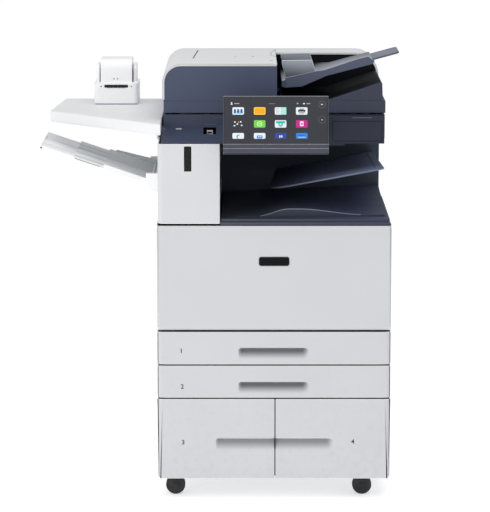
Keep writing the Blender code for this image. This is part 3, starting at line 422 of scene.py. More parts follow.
LOOKS = {
    "white": moulded("white_abs", PANEL_WHITE, 0.5),
    # tray fronts: white with painted shade that deepens into their grips and seams
    "front": moulded("front_white_abs", PANEL_WHITE, 0.5, tint=seam_dirt),
    # lighter white: a painted highlight on rounded edges, and painted light on the whole bypass housing
    "edge": moulded("highlight_white_abs", PAINTED_HIGHLIGHT_WHITE, 0.45),
    "shell": moulded("feeder_shell_white", SHELL_WHITE, 0.48),
    "column": moulded("column_white_abs", COLUMN_WHITE, 0.5),
    "shelf": moulded("shelf_white", SHELF_WHITE, 0.48),
    "stapler": moulded("stapler_white", STAPLER_WHITE, 0.42, grain=0.0014, depth=0.00003),
    # feeder base navy with painted shade that darkens it towards the right, away from the light
    "navy": moulded("navy_abs", NAVY, 0.52, shine=0.4, tint=fade("X", 0.22, 0.02, tone(49, 55, 72))),
    "console": moulded("console_navy", CONSOLE_NAVY, 0.46, shine=0.4),
    # a darker copy of the console navy: painted shade on the upright block right of the screen
    "panel": moulded("scanner_panel_shaded_navy", SHADED_PANEL_NAVY, 0.48, shine=0.4),
    # lower tray with painted light that lightens its left end, under the upper tray
    "tray": moulded("tray_navy", TRAY_NAVY, 0.56, grain=0.0015, shine=0.3,
                    tint=fade("X", -0.12, 0.2, tone(78, 83, 94))),
    "tray_rim": moulded("tray_rim_navy", tone(54, 60, 78), 0.5, shine=0.3),
    # upper tray: a lightened navy as painted light, with painted shade darkening its left end deep in the
    # bay
    "upper_tray": moulded("upper_tray_navy", UPPER_TRAY_LIT_NAVY, 0.5, grain=0.0015, shine=0.4,
                          tint=fade("X", -0.02, 0.13, tone(26, 29, 40))),
    # lighter navy: painted highlight on the upper tray's right end
    "lip_highlight": moulded("lip_highlight_navy", tone(104, 112, 134), 0.5, shine=0.3),
    # bright navy: painted highlight along the lower tray's hump
    "hump_highlight": moulded("hump_highlight_navy", tone(150, 158, 176), 0.34, shine=0.8),
    "document": moulded("document_navy", DOCUMENT_NAVY, 0.44, grain=0.0015),
    # document tray's bed, with painted shade that darkens it towards the rear
    "document_bed": moulded("document_bed", tone(190, 196, 212), 0.44, grain=0.0015, tint=sheet_tail),
    # dark tone that paints the shade inside the output bay
    "bay": moulded("bay_painted_shade", BAY_SHADE_TONE, 0.6, shine=0.15),
    # near-black tone: painted shade under the document tray
    "feeder_shade": moulded("feeder_painted_shade", tone(16, 19, 25), 0.6, shine=0.15),
    "housing": moulded("screen_housing_grey", HOUSING_GREY, 0.36, grain=0.0008, depth=0.00003),
    "grey": moulded("inner_grey", tone(120, 122, 128), 0.5),
    "bin": moulded("bin_grey", tone(70, 72, 78), 0.55),
    "light": moulded("light_grey", tone(176, 178, 183), 0.42),
    "slide": moulded("slide_grey_blue", tone(84, 93, 116), 0.34, grain=0.001, depth=0.00002),
    # document guides with painted shade that darkens them towards their lower edge
    "guide": moulded("guide_grey", tone(165, 172, 181), 0.3, grain=0.001, depth=0.00003,
                     tint=fade("Z", 1.108, 1.156, tone(88, 93, 99))),
    "black": moulded("black_abs", tone(30, 31, 33), 0.42, shine=0.3),
    # bypass tray sections: painted shade in their grooves and a painted shadow towards the rear
    "main_section": ribbed("bypass_main", BYPASS_LIGHT, BYPASS_SHADOW_TONE, 0.03, 0.25, 0.36),
    "first_section": ribbed("bypass_first", BYPASS_LIGHT, BYPASS_SHADOW_TONE, 0.08, 0.3, 0.45),
    "last_section": ribbed("bypass_last", tone(246, 247, 249), BYPASS_LIGHT, 0.11, 0.3, 0.2),
    "gloss_black": polished("gloss_black", tone(10, 10, 12), 0.12, 0.12),
    "window": dotted_window("sensor_filter"),
    "touch_panel": polished("touch_panel", tone(62, 64, 69), 0.18, 0.15),
    "steel": sheet_metal("zinc_sheet", tone(186, 188, 192), 0.34),
    "silver": sheet_metal("silver_trim", tone(176, 178, 188), 0.3),
    "tyre": rubber("caster_tread", CASTER_BLACK, 0.62),
    "roller": rubber("roller_rubber", tone(58, 60, 62), 0.7, 900.0),
    "glass": clear_glass("platen_clear"),
    "foam": foam_sheet("platen_foam", tone(232, 232, 230)),
    "toner_black": moulded("bottle_black", tone(28, 28, 30), 0.32, grain=0.0006),
    "toner_cyan": moulded("bottle_cyan", tone(20, 120, 175), 0.32, grain=0.0006),
    "toner_magenta": moulded("bottle_magenta", tone(172, 32, 96), 0.32, grain=0.0006),
    "toner_yellow": moulded("bottle_yellow", tone(216, 182, 34), 0.32, grain=0.0006),
    "ink": printed("ink_grey", INK_GREY),
    "pale_ink_and_highlight": printed("pale_ink_and_highlight", tone(225, 228, 232)),
    "faint_ink_and_shadow": printed("faint_ink_and_shadow", tone(112, 118, 134)),
    # near-black tone: painted shade in gaps, slots and recesses
    "dark_gap": moulded("gap_painted_shade", tone(14, 15, 17), 0.8, shine=0.1),
}


# ---- mesh helpers

def add_box(bm, x, y, z):
    """Adds a closed box and returns its vertices."""
    made = bmesh.ops.create_cube(bm, size=1.0)["verts"]
    size = Vector((x[1] - x[0], y[1] - y[0], z[1] - z[0]))
    middle = Vector((x[0] + x[1], y[0] + y[1], z[0] + z[1])) / 2
    bmesh.ops.scale(bm, vec=size, verts=made)
    bmesh.ops.translate(bm, vec=middle, verts=made)
    return made


def add_ring(bm, first, second):
    """Joins two loops of vertices with a band of faces."""
    count = len(first)
    for i in range(count):
        j = (i + 1) % count
        bm.faces.new((first[i], first[j], second[j], second[i]))


def add_prism(bm, outline, y):
    """Adds a closed prism over an outline in the XZ plane, between two places along Y."""
    near, far = [[bm.verts.new((u, depth, v)) for u, v in outline] for depth in y]
    add_ring(bm, near, far)
    bm.faces.new(near)
    bm.faces.new(list(reversed(far)))


def arc(centre, reach, start, sweep, steps):
    """Points along an arc in the XZ plane; reach is its radius along X and along Z."""
    points = []
    for step in range(steps + 1):
        angle = math.radians(start + sweep * step / steps)
        points.append((centre[0] + reach[0] * math.cos(angle), centre[1] + reach[1] * math.sin(angle)))
    return points


def rounded_outline(x, z, radius, steps):
    """Corner points of a rounded rectangle in the XZ plane, anticlockwise as seen from the front."""
    corners = (
        (x[1] - radius, z[1] - radius, 0),
        (x[0] + radius, z[1] - radius, 90),
        (x[0] + radius, z[0] + radius, 180),
        (x[1] - radius, z[0] + radius, 270),
    )
    points = []
    for centre_x, centre_z, start in corners:
        points += arc((centre_x, centre_z), (radius, radius), start, 90, steps)
    return points


def add_plate(bm, x, z, y, radius, steps=4, lip=0.0):
    """Adds a rounded rectangular plate from y[0] (front) to y[1], its front edge chamfered by lip."""
    radius = min(radius, (x[1] - x[0]) / 2 - WELD, (z[1] - z[0]) / 2 - WELD)
    outline = rounded_outline(x, z, radius, steps)
    loops = [[bm.verts.new((u, y[1], v)) for u, v in outline]]
    if lip:
        loops.append([bm.verts.new((u, y[0] + lip, v)) for u, v in outline])
        inner_x = (x[0] + lip, x[1] - lip)
        inner_z = (z[0] + lip, z[1] - lip)
        outline = rounded_outline(inner_x, inner_z, max(radius - lip, WELD), steps)
    loops.append([bm.verts.new((u, y[0], v)) for u, v in outline])
    for back, front in zip(loops, loops[1:]):
        add_ring(bm, back, front)
    bm.faces.new(loops[-1])
    bm.faces.new(list(reversed(loops[0])))


def add_disc(bm, x, z, y, radius, steps, lip=0.0):
    """Adds a round plate; steps is its number of corners."""
    add_plate(bm, (x - radius, x + radius), (z - radius, z + radius), y, radius, steps // 4, lip)


def turn_verts(bm, verts, matrix):
    bmesh.ops.transform(bm, matrix=matrix, verts=verts)


def linked(name, data):
    """A new object in the scene."""
    made = bpy.data.objects.new(name, data)
    bpy.context.scene.collection.objects.link(made)
    return made


def facing(direction):
    """Turns a plate drawn towards -Y so that it faces the given way."""
    return {
        "front": Matrix.Identity(4),
        "rear": Matrix.Rotation(math.radians(180), 4, "Z"),
        "right": Matrix.Rotation(math.radians(90), 4, "Z"),
        "left": Matrix.Rotation(math.radians(-90), 4, "Z"),
        "up": Matrix.Rotation(math.radians(-90), 4, "X"),
    }[direction]


def add_turned(bm, spot, direction, build):
    """Runs build(bm) in its own frame and moves what it made to a spot in the cabinet's frame."""
    before = set(bm.verts)
    build(bm)
    made = [vertex for vertex in bm.verts if vertex not in before]
    turn_verts(bm, made, Matrix.Translation(Vector(spot)) @ facing(direction))


def add_turned_disc(bm, spot, direction, *disc):
    """A disc that faces the given way; disc holds its Y range, radius, steps and chamfer."""
    add_turned(bm, spot, direction, lambda target: add_disc(target, 0, 0, *disc))


def screen_frame():
    return Matrix.Translation(SHIFT + SCREEN_PIVOT) @ Matrix.Rotation(-SCREEN_TILT, 4, "X")


def piece(name, bm, look, body, matrix=None, smooth=True):
    """Makes one added piece, from a bmesh in the cabinet's frame or in the frame that matrix gives."""
    bmesh.ops.recalc_face_normals(bm, faces=bm.faces)
    mesh = bpy.data.meshes.new(name)
    bm.to_mesh(mesh)
    bm.free()
    mesh.transform(Matrix.Translation(SHIFT) if matrix is None else matrix)
    if smooth:
        mesh.shade_smooth()
        mesh.set_sharp_from_angle(angle=SHARP_ANGLE)
    mesh.materials.append(LOOKS[look])
    made = linked(name, mesh)
    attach(made, body)


def built(name, look, body, add, rows, matrix=None):
    """One added piece, made by calling add once for each row of arguments."""
    bm = bmesh.new()
    for row in rows:
        add(bm, *row)
    piece(name, bm, look, body, matrix)


# ---- refined copies of CAD nodes

# Nodes refined without cuts or painted faces: node, look and width of the rounded edges.
PLAIN_NODES = (
    ("waste_toner_bottle", "light", 0.003),
    ("laser_unit", "grey", 0.002),
    ("drum_unit", "black", SMALL_EDGE),
    ("transfer_belt_unit", "black", 0.001),
    ("fuser_unit", "steel", 0.001),
    ("power_inlet", "black", SMALL_EDGE),
    # USB socket in pale ink: painted highlight on its metal front
    ("usb_socket", "pale_ink_and_highlight", 0.0002),
    ("scan_carriage", "black", 0.001),
    ("platen_glass", "glass", SMALL_EDGE),
    ("platen_cushion", "foam", 0.001),
    ("feed_roller", "roller", SMALL_EDGE),
    ("upper_output_tray", "upper_tray", 0.0008),
    ("screen_housing", "housing", 0.0014),
    ("screen_glass", "touch_panel", 0.0006),
    ("wake_button", "light", 0.0004),
    ("work_surface", "shelf", 0.0025),
    ("stapler_body", "stapler", 0.0016),
    # bypass housing in the lighter white: painted light against the shade under the shelf
    ("bypass_housing", "edge", SOFT_EDGE),
    ("bypass_tray", "main_section", 0.0007),
    ("bypass_extension_1", "first_section", 0.0007),
    ("bypass_extension_2", "last_section", 0.0007),
    ("feeder_top_cover", "shell", 0.0018),
)


def welded_bmesh(mesh):
    """A surface as clean polygons: split corners and flat faces are merged."""
    bm = bmesh.new()
    bm.from_mesh(mesh)
    bmesh.ops.remove_doubles(bm, verts=bm.verts, dist=WELD)
    bmesh.ops.dissolve_limit(bm, angle_limit=FLAT_ANGLE, verts=bm.verts, edges=bm.edges)
    return bm


def plain_mesh(name, bm):
    """A new mesh that holds only the shape."""
    bm.verts.index_update()
    points = [vertex.co.copy() for vertex in bm.verts]
    faces = [[vertex.index for vertex in face.verts] for face in bm.faces]
    bm.free()
    mesh = bpy.data.meshes.new(name)
    mesh.from_pydata(points, [], faces)
    mesh.validate()
    return mesh


def cut_from(target, cutter_bm, split):
    """Takes the cutters' volume out of target for good. Split breaks up the faces left with many holes."""
    bmesh.ops.recalc_face_normals(cutter_bm, faces=cutter_bm.faces)
    cutter = linked("cutter", plain_mesh("cutter", cutter_bm))
    cutter.data.transform(Matrix.Translation(SHIFT))
    modifier = target.modifiers.new("cut", "BOOLEAN")
    modifier.operation = "DIFFERENCE"
    modifier.solver = "EXACT"
    modifier.use_self = True
    modifier.object = cutter
    graph = bpy.context.evaluated_depsgraph_get()
    carved = bpy.data.meshes.new_from_object(target.evaluated_get(graph))
    target.modifiers.clear()
    bpy.data.objects.remove(cutter)
    bm = welded_bmesh(carved)
    if split:
        bmesh.ops.triangulate(bm, faces=[face for face in bm.faces if len(face.verts) > MANY_CORNERS])
    target.data = plain_mesh(target.name, bm)


def room_beside(edge):
    """Distance, square to the edge, to the nearest other corner of the faces that share it."""
    start = edge.verts[0].co
    along = edge.verts[1].co - start
    nearest = 1.0
    for face in edge.link_faces:
        for vertex in face.verts:
            if vertex in edge.verts:
                continue
            part = (vertex.co - start).dot(along) / along.length_squared
            if -0.01 < part < 1.01:
                nearest = min(nearest, (vertex.co - start - along * part).length)
    return nearest


def weigh_edges(mesh, width):
    """Marks each sharp edge with how much of the bevel width its neighbours leave room for."""
    bm = bmesh.new()
    bm.from_mesh(mesh)
    layer = bm.edges.layers.float.new("bevel_weight_edge")
    for edge in bm.edges:
        if len(edge.link_faces) != 2 or edge.calc_face_angle(0.0) < SHARP_ANGLE:
            continue
        others = {other for vertex in edge.verts for other in vertex.link_edges} - {edge}
        near = min((other.calc_length() for other in others), default=width)
        edge[layer] = max(LEAST_BEVEL, min(1.0, ROOM_SHARE * min(near, room_beside(edge)) / width))
    bm.to_mesh(mesh)
    bm.free()


def skin(node, bm, look, edge, cutters=None, edge_look=None, split=False):
    """Turns a surface into the shown copy of a CAD node, with its edges rounded."""
    made = linked(node + "_skin", plain_mesh(node + "_skin", bm))
    if cutters is not None:
        cut_from(made, cutters, split)
    weigh_edges(made.data, edge)
    made.data.shade_smooth()
    made.data.materials.append(LOOKS[look])
    bevel = made.modifiers.new("rounded_edges", "BEVEL")
    bevel.limit_method = "WEIGHT"
    bevel.width = edge
    bevel.segments = 2
    bevel.use_clamp_overlap = False
    if edge_look:
        made.data.materials.append(LOOKS[edge_look])
        bevel.material = 1
    made.modifiers.new("even_shading", "WEIGHTED_NORMAL")
    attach(made, frame["nodes"][node]["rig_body"])
    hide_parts(node)
    return made


def refined(node, look, edge=SOFT_EDGE, cutters=None, edge_look=None, split=False):
    """Replaces a CAD node by a copy with real grooves and rounded edges."""
    return skin(node, welded_bmesh(frame["nodes"][node].data), look, edge, cutters, edge_look, split)


def paint_faces(made, look, test):
    """Gives a second material to the faces whose centre and normal, in the cabinet's frame, pass a test."""
    made.data.materials.append(LOOKS[look])
    index = len(made.data.materials) - 1
    for face in made.data.polygons:
        if test(face.center - SHIFT, face.normal):
            face.material_index = index


def add_seam(bm, axis, place, across, heights, width, depth):
    """Four thin cutters along a rectangle on the upright face that lies at a place on the X or Y axis."""
    half = width / 2
    through = (place - depth, place + depth)
    strips = [((u - half, u + half), (heights[0] - half, heights[1] + half)) for u in across]
    strips += [(across, (z - half, z + half)) for z in heights]
    for wide, tall in strips:
        x, y = (through, wide) if axis == "X" else (wide, through)
        add_box(bm, x, y, tall)


def add_box_frame(bm, columns, y, rows):
    """Four boxes round a rectangle, from the X ranges of two of them and the Z ranges of the others."""
    for x in columns:
        add_box(bm, x, y, (rows[0][0], rows[1][1]))
    for z in rows:
        add_box(bm, (columns[0][0], columns[1][1]), y, z)


def slots(bm, x, y, z_start, count, pitch, height):
    """A stack of level ventilation slots."""
    for number in range(count):
        low = z_start + number * pitch
        add_box(bm, x, y, (low, low + height))


def rear_screw_spots():
    return [(x, z) for x in (-0.297, 0.297) for z in (0.08, 0.2, 0.52, 0.73)]


def build_covers():
    side = bmesh.new()
    slots(side, (0.3, 0.32), (0.45, 0.6), 0.56, 9, 0.013, 0.0045)
    add_seam(side, "X", SIDE_X, (0.06, 0.63), (0.08, 0.728), 0.0014, 0.0009)
    refined("right_cover", "white", cutters=side)

    side = bmesh.new()
    add_seam(side, "X", -SIDE_X, (0.085, 0.6), (0.478, 0.728), 0.0016, 0.001)
    add_box(side, (-0.32, -0.307), (0.29, 0.38), (0.69, 0.706))
    refined("left_cover", "white", cutters=side)

    side = bmesh.new()
    add_seam(side, "X", -0.307, (0.11, 0.56), (0.76, 0.8), 0.0014, 0.0008)
    refined("left_upper_cover", "white", cutters=side)

    rear = bmesh.new()
    slots(rear, (-0.23, -0.09), (0.64, 0.67), 0.6, 12, 0.012, 0.0045)
    slots(rear, (0.08, 0.22), (0.64, 0.67), 0.78, 10, 0.012, 0.0045)
    add_seam(rear, "Y", REAR, (-0.29, 0.29), (0.3, 0.74), 0.0016, 0.001)
    for x, z in rear_screw_spots():
        add_turned_disc(rear, (x, REAR, z), "rear", (-0.001, 0.0018), 0.005, 20)
    add_box(rear, (0.1848, 0.2552), (REAR - 0.0008, REAR + 0.001), (0.1928, 0.2372))
    columns, rows = ((0.1955, 0.1999), (0.2401, 0.2445)), ((0.1155, 0.1196), (0.1504, 0.1545))
    add_box_frame(rear, columns, (REAR - 0.002, REAR + 0.001), rows)
    refined("rear_cover", "white", cutters=rear, split=True)

    # column with a painted highlight on its rounded edges
    column = refined("column_cover", "column", 0.002, edge_look="edge")
    # column's side that faces the output bay: painted shade
    paint_faces(column, "bay", lambda spot, normal: normal.x > 0.9 and spot.x > -0.16)
    # rear wall of the output bay in the bay's painted shade
    refined("rear_bay_cover", "bay")
    refined("lower_output_tray", "tray", edge_look="tray_rim")


def panel_bmesh(node, rounded):
    """A tray's front panel without its grip, with rounded upright corners on the given sides."""
    low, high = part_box(node)
    bm = bmesh.new()
    add_box(bm, (low.x, high.x), (low.y, high.y), (low.z, high.z))
    corners = []
    for edge in bm.edges:
        middle = (edge.verts[0].co + edge.verts[1].co) / 2
        upright = abs(edge.verts[0].co.z - edge.verts[1].co.z) > 0.01
        outer = (middle.x < low.x + 0.001 and -1 in rounded) or (middle.x > high.x - 0.001 and 1 in rounded)
        if upright and outer and middle.y < low.y + 0.001:
            corners.append(edge)
    bmesh.ops.bevel(bm, geom=corners, offset=PANEL_CORNER, segments=5, profile=0.5, affect="EDGES")
    return bm


def smooth_step(value):
    value = max(0.0, min(1.0, value))
    return value * value * (3 - 2 * value)


def round_corner(bm, x, z, side, rise, radius):
    """Adds a cutter that rounds a front panel's corner; side and rise point out of the panel."""
    middle_x = x - side * radius
    middle_z = z - rise * radius
    outer_x = x + side * CORNER_CLEAR
    outer_z = z + rise * CORNER_CLEAR
    outline = [(outer_x, middle_z)]
    outline += arc((middle_x, middle_z), (side * radius, rise * radius), 0, 90, 8)
    outline += [(middle_x, outer_z), (outer_x, outer_z)]
    add_prism(bm, outline, CORNER_DEPTH)


def scoop_depth(x, z, left, right, low, high, deepest, ends):
    """Depth of a finger scoop: steep at its top and left, running out softly below and to the right."""
    top = high
    if -1 in ends:
        inward = GRIP_ROUND - (x - left)
        if inward > 0:
            top -= GRIP_ROUND - math.sqrt(max(0.0, GRIP_ROUND ** 2 - inward ** 2))
    if 1 in ends:
        top -= 0.0045 * (1 - smooth_step((right - x) / 0.02))
    depth = deepest * smooth_step((z - low) / (high - low) * 1.25) * smooth_step((top - z) / GRIP_BROW)
    if -1 in ends:
        depth *= smooth_step((x - left) / 0.007)
    if 1 in ends:
        depth *= smooth_step((right - x) / 0.024)
    return depth


def scoop_cutter(left, right, low, high, deepest, ends):
    """Closed mesh that stands in front of the panel and reaches into it by the scoop's depth."""
    xs = [left + (right - left) * step / GRIP_COLUMNS for step in range(GRIP_COLUMNS + 1)]
    zs = [low + (high - low) * step / GRIP_ROWS for step in range(GRIP_ROWS + 1)]
    bm = bmesh.new()
    shape = (left, right, low, high, deepest, ends)
    back = [[bm.verts.new((x, scoop_depth(x, z, *shape) - 0.0002, z)) for z in zs] for x in xs]
    front = [[bm.verts.new((x, -0.006, z)) for z in zs] for x in xs]
    for rows in (back, front):
        for i in range(len(xs) - 1):
            for j in range(len(zs) - 1):
                bm.faces.new((rows[i][j], rows[i + 1][j], rows[i + 1][j + 1], rows[i][j + 1]))
    for i in range(len(xs) - 1):
        for j in (0, len(zs) - 1):
            bm.faces.new((back[i][j], back[i + 1][j], front[i + 1][j], front[i][j]))
    for j in range(len(zs) - 1):
        for i in (0, len(xs) - 1):
            bm.faces.new((back[i][j], back[i][j + 1], front[i][j + 1], front[i][j]))
    return bm


def build_seams():
    """Painted shade: dark strips in the gaps between the front panels, so that no light comes through them.
    """
    strips = (
        ((-0.308, 0.308), (0.013, 0.0185), (0.4557, 0.4584)),
        ((-0.308, 0.308), (0.008, 0.0185), (0.7408, 0.7452)),
        ((-0.307, 0.307), (0.003, 0.0185), (0.3643, 0.3677)),
        ((-0.307, 0.307), (0.003, 0.0185), (0.2738, 0.2772)),
        ((0.0018, 0.0042), (0.001, 0.0185), (0.08, 0.27)),
    )
    built("front_seams", "dark_gap", "cabinet", add_box, strips)


def build_front():
    corners = bmesh.new()
    for side in (-1, 1):
        round_corner(corners, side * HALF_WIDTH, COVER_HIGH.z, side, 1, 0.011)
    # front cover with a painted highlight on its rounded edges
    refined("front_cover", "white", PANEL_EDGE, corners, "edge")
    layout = (
        ("tray_1", (-1, 1), (-0.095, 0.099, 0.3795, 0.414, 0.0115)),
        ("tray_2", (-1, 1), (-0.095, 0.099, 0.2865, 0.3215, 0.0115)),
        ("tray_3", (-1,), (-0.156, 0.01, 0.13, 0.1682, 0.0085)),
        ("tray_4", (1,), (-0.004, 0.164, 0.13, 0.1682, 0.0085)),
    )
    for tray, ends, grip in layout:
        node = tray + "_front"
        cutters = scoop_cutter(*grip, ends)
        low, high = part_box(node)
        for side in ends:
            round_corner(cutters, side * HALF_WIDTH, high.z, side, 1, 0.005)
            round_corner(cutters, side * HALF_WIDTH, low.z, side, -1, 0.005 if low.z > 0.2 else 0.01)
        # tray fronts with a painted highlight on their rounded edges
        skin(node, panel_bmesh(node, ends), "front", PANEL_EDGE, cutters, "edge")
        refined(tray + "_bin", "bin", SMALL_EDGE)
    build_seams()
    refined("sensor_window", "window", SMALL_EDGE)
    refined("inner_front_panel", "grey", SMALL_EDGE)


def build_inside():
    inner = refined("frame", "steel", SMALL_EDGE)
    # frame's front faces, seen through the panel gaps, painted dark as shade
    paint_faces(inner, "dark_gap", lambda spot, normal: normal.y < -0.9 and spot.y < 0.03)
    for colour in ("black", "cyan", "magenta", "yellow"):
        refined("toner_" + colour, "toner_" + colour, SMALL_EDGE)
    for node, look, edge in PLAIN_NODES:
        refined(node, look, edge)


def build_scanner():
    surface = welded_bmesh(frame["nodes"]["scanner_housing"].data)
    for vertex in surface.verts:
        spot = vertex.co - SHIFT
        if abs(spot.z - PANEL_BLOCK_TOP) < NEAR:
            vertex.co.z -= BLOCK_STEP
        if abs(spot.x - PANEL_BLOCK_RIGHT) < NEAR:
            vertex.co.x -= BLOCK_STEP
    housing = skin("scanner_housing", surface, "console", 0.0014)
    # block right of the screen: painted shade, darker than the sloping console
    paint_faces(housing, "panel", lambda spot, normal: spot.x > 0.1395)
    # underside of the scanner over the output bay: painted shade
    paint_faces(housing, "bay", lambda spot, normal: normal.z < -0.9 and spot.y > 0.01)
    paint_faces(housing, "housing", lambda spot, normal: spot.y < -0.001)
    # sides of the memory-stick notch painted dark as shade inside the recess
    paint_faces(housing, "dark_gap", in_usb_notch)


def in_usb_notch(spot, normal):
    """Whether a face is one of the notch's upright or level sides."""
    square = max(abs(part) for part in normal) > 0.99
    return square and -0.1875 < spot.x < -0.1535 and 0.055 < spot.y < 0.1305 and 0.9695 < spot.z < 0.9895


def feeder_recess():
    """Shallow recess in the rear housing's front, which leaves a rim along its top and right."""
    bm = bmesh.new()
    corner = arc((0.232, 1.096), (0.056, 0.056), 0, 90, 8)
    add_prism(bm, [(0.0075, 1.05), (0.2895, 1.05), *corner, (0.0075, 1.152)], (0.4485, 0.44))
    return bm


def build_feeder():
    base = refined("feeder_base", "navy", 0.0014)
    # top faces of the feeder base, under the document tray: painted shade
    paint_faces(base, "feeder_shade", lambda spot, normal: normal.z > 0.5 and spot.x > 0.012 and spot.z > 1.0596)
    rear = refined("feeder_rear_housing", "shell", 0.0012, feeder_recess())
    # front of the rear housing, under the document tray: painted shade
    paint_faces(rear, "feeder_shade", lambda spot, normal: normal.y < -0.9 and spot.y > 0.4475)
    tray = refined("document_tray", "document", 0.001)
    paint_faces(tray, "document_bed", lambda spot, normal: normal.z > 0.8 and spot.y > 0.128)
    refined("document_tray_extension", "slide", 0.0006, edge_look="panel")
    # guides with a painted highlight on their rounded edges
    refined("document_guide_front", "guide", 0.0008, edge_look="edge")
    refined("document_guide_rear", "guide", 0.0008, edge_look="edge")


def build_casters():
    for place in CASTERS:
        refined(f"caster_{place}_fork", "black", 0.0006)
        refined(f"caster_{place}_wheel", "tyre", 0.0012)


# ---- added pieces

def build_badge():
    """Blank oval-cornered badge plate with a thin frame."""
    face = [((-0.04, 0.04), (0.6335, 0.6575), (-0.0012, 0.0), 0.006, 5, 0.0006)]
    built("badge_plate", "gloss_black", "front_cover", add_plate, face)
    rim = [((-0.0415, 0.0415), (0.632, 0.659), (-0.0006, 0.0), 0.0072, 5, 0.0002)]
    built("badge_rim", "light", "front_cover", add_plate, rim)


def tray_number(number, x, z):
    """A digit on a tray's front."""
    text = bpy.data.curves.new(f"digit_{number}", "FONT")
    text.body = str(number)
    text.size = DIGIT_SIZE
    text.extrude = 0.0001
    text.offset = 0.0003
    text.align_x = "CENTER"
    text.align_y = "CENTER"
    holder = linked(f"digit_{number}", text)
    graph = bpy.context.evaluated_depsgraph_get()
    bm = bmesh.new()
    mesh = bpy.data.meshes.new_from_object(holder.evaluated_get(graph))
    bm.from_mesh(mesh)
    bpy.data.objects.remove(holder)
    bpy.data.meshes.remove(mesh)
    turn = Matrix.Translation((x, -0.0001, z)) @ Matrix.Rotation(math.radians(90), 4, "X")
    bmesh.ops.transform(bm, matrix=turn, verts=bm.verts)
    piece(f"tray_number_{number}", bm, "ink", f"tray_{number}", smooth=False)


def build_tray_numbers():
    for number, x, z in ((1, -0.246, 0.404), (2, -0.244, 0.307), (3, -0.242, 0.155), (4, 0.211, 0.157)):
        tray_number(number, x, z)


class Display:
    """Collects flat shapes by colour, layer on layer, and then makes one piece for each colour."""

    def __init__(self):
        self.shapes = {}
        self.spot = (0.0, 0.0)

    def sheet(self, colour, layer, x, z, radius=0.002, steps=3):
        """Adds a plate whose X and Z ranges are measured from the current spot."""
        bm = self.shapes.setdefault(colour, bmesh.new())
        front = GLASS_FRONT - DISPLAY_LAYER * (layer + 2)
        middle_x, middle_z = self.spot
        x = (middle_x + x[0], middle_x + x[1])
        z = (middle_z + z[0] - DISPLAY_DROP, middle_z + z[1] - DISPLAY_DROP)
        add_plate(bm, x, z, (front, GLASS_FRONT - 0.00002), radius, steps)

    def disc(self, colour, layer, x, z, radius):
        self.sheet(colour, layer, (x - radius, x + radius), (z - radius, z + radius), radius, 5)

    def tile(self, colour, column, row):
        """Starts an icon with its rounded tile; the last row's tiles are lower."""
        self.spot = (ICON_X[column], ICON_Z[row])
        self.sheet(colour, 0, (-0.015, 0.015), (ICON_FOOT[row], 0.0095), 0.003)

    def finish(self, colours):
        for name, bm in self.shapes.items():
            LOOKS["display_" + name] = glowing("display_" + name, colours[name])
            piece("display_" + name, bm, "display_" + name, "screen", screen_frame())


DISPLAY_COLOURS = {
    "white": tone(216, 222, 228),
    "pale_blue": tone(150, 196, 232),
    "deep_blue": tone(32, 74, 132),
    "orange": tone(240, 160, 10),
    "yellow": tone(250, 206, 70),
    "mint": tone(160, 216, 200),
    "grey": tone(160, 163, 168),
    "dark": tone(46, 46, 50),
    "green": tone(104, 196, 70),
    "leaf": tone(196, 240, 160),
    "teal": tone(40, 176, 164),
    "magenta": tone(196, 20, 130),
    "indigo": tone(40, 60, 160),
    "blue": tone(44, 120, 210),
    "dim": tone(104, 104, 108),
}
ICON_X = (-0.0947, -0.0389, 0.0156, 0.0706)
ICON_Z = (0.0604, 0.0255, -0.009)
ICON_FOOT = (-0.0105, -0.0105, -0.006)     # lower edge of each row's tiles, from the row's middle
KEY_X = 0.1235


def draw_first_row(show):
    show.tile("white", 0, 0)
    show.sheet("pale_blue", 1, (-0.0125, 0.0125), (-0.0085, -0.0005))
    for middle in (-0.0085, 0.0, 0.0085):
        show.sheet("deep_blue", 2, (middle - 0.0026, middle + 0.0026), (-0.006, 0.0045), 0.001)
    show.tile("yellow", 1, 0)
    show.sheet("orange", 1, (-0.0132, 0.0132), (-0.0085, 0.0072))
    show.tile("white", 2, 0)
    show.sheet("mint", 1, (0.0005, 0.015), (-0.0105, 0.0095))
    for low in (-0.0065, -0.0025, 0.0015, 0.0055):
        show.sheet("grey", 1, (-0.012, -0.003), (low, low + 0.0014), 0.0004)
    show.tile("white", 3, 0)
    show.sheet("dark", 1, (-0.0095, 0.0095), (-0.004, 0.0035), 0.003)
    show.sheet("grey", 2, (-0.007, 0.007), (-0.0075, -0.0015), 0.001)
    show.sheet("grey", 1, (-0.0055, 0.0055), (0.0036, 0.0065), 0.0008)


def draw_second_row(show):
    show.tile("dark", 0, 1)
    dots = ((-0.0085, 0.0045), (0.0065, 0.005), (-0.002, -0.001), (0.009, -0.0045), (-0.0095, -0.0055))
    for x, z in dots:
        show.sheet("white", 1, (x - 0.002, x + 0.002), (z - 0.0018, z + 0.0018), 0.0006)
    show.sheet("orange", 1, (-0.0005, 0.002), (0.003, 0.0055), 0.0006)
    show.tile("green", 1, 1)
    show.disc("leaf", 1, 0.0, -0.0005, 0.007)
    show.disc("green", 2, 0.0, -0.0005, 0.005)
    show.sheet("leaf", 3, (-0.004, 0.0045), (-0.0015, 0.0005), 0.0004)
    show.tile("white", 2, 1)
    show.sheet("teal", 1, (-0.012, 0.012), (0.001, 0.007), 0.0015)
    show.disc("teal", 1, 0.0, -0.002, 0.0062)
    show.disc("mint", 2, 0.0, -0.0015, 0.0034)
    show.tile("magenta", 3, 1)
    show.sheet("white", 1, (-0.0045, 0.0045), (-0.0065, 0.0065), 0.0012)
    show.sheet("magenta", 2, (-0.002, 0.0025), (-0.003, 0.002), 0.0008)


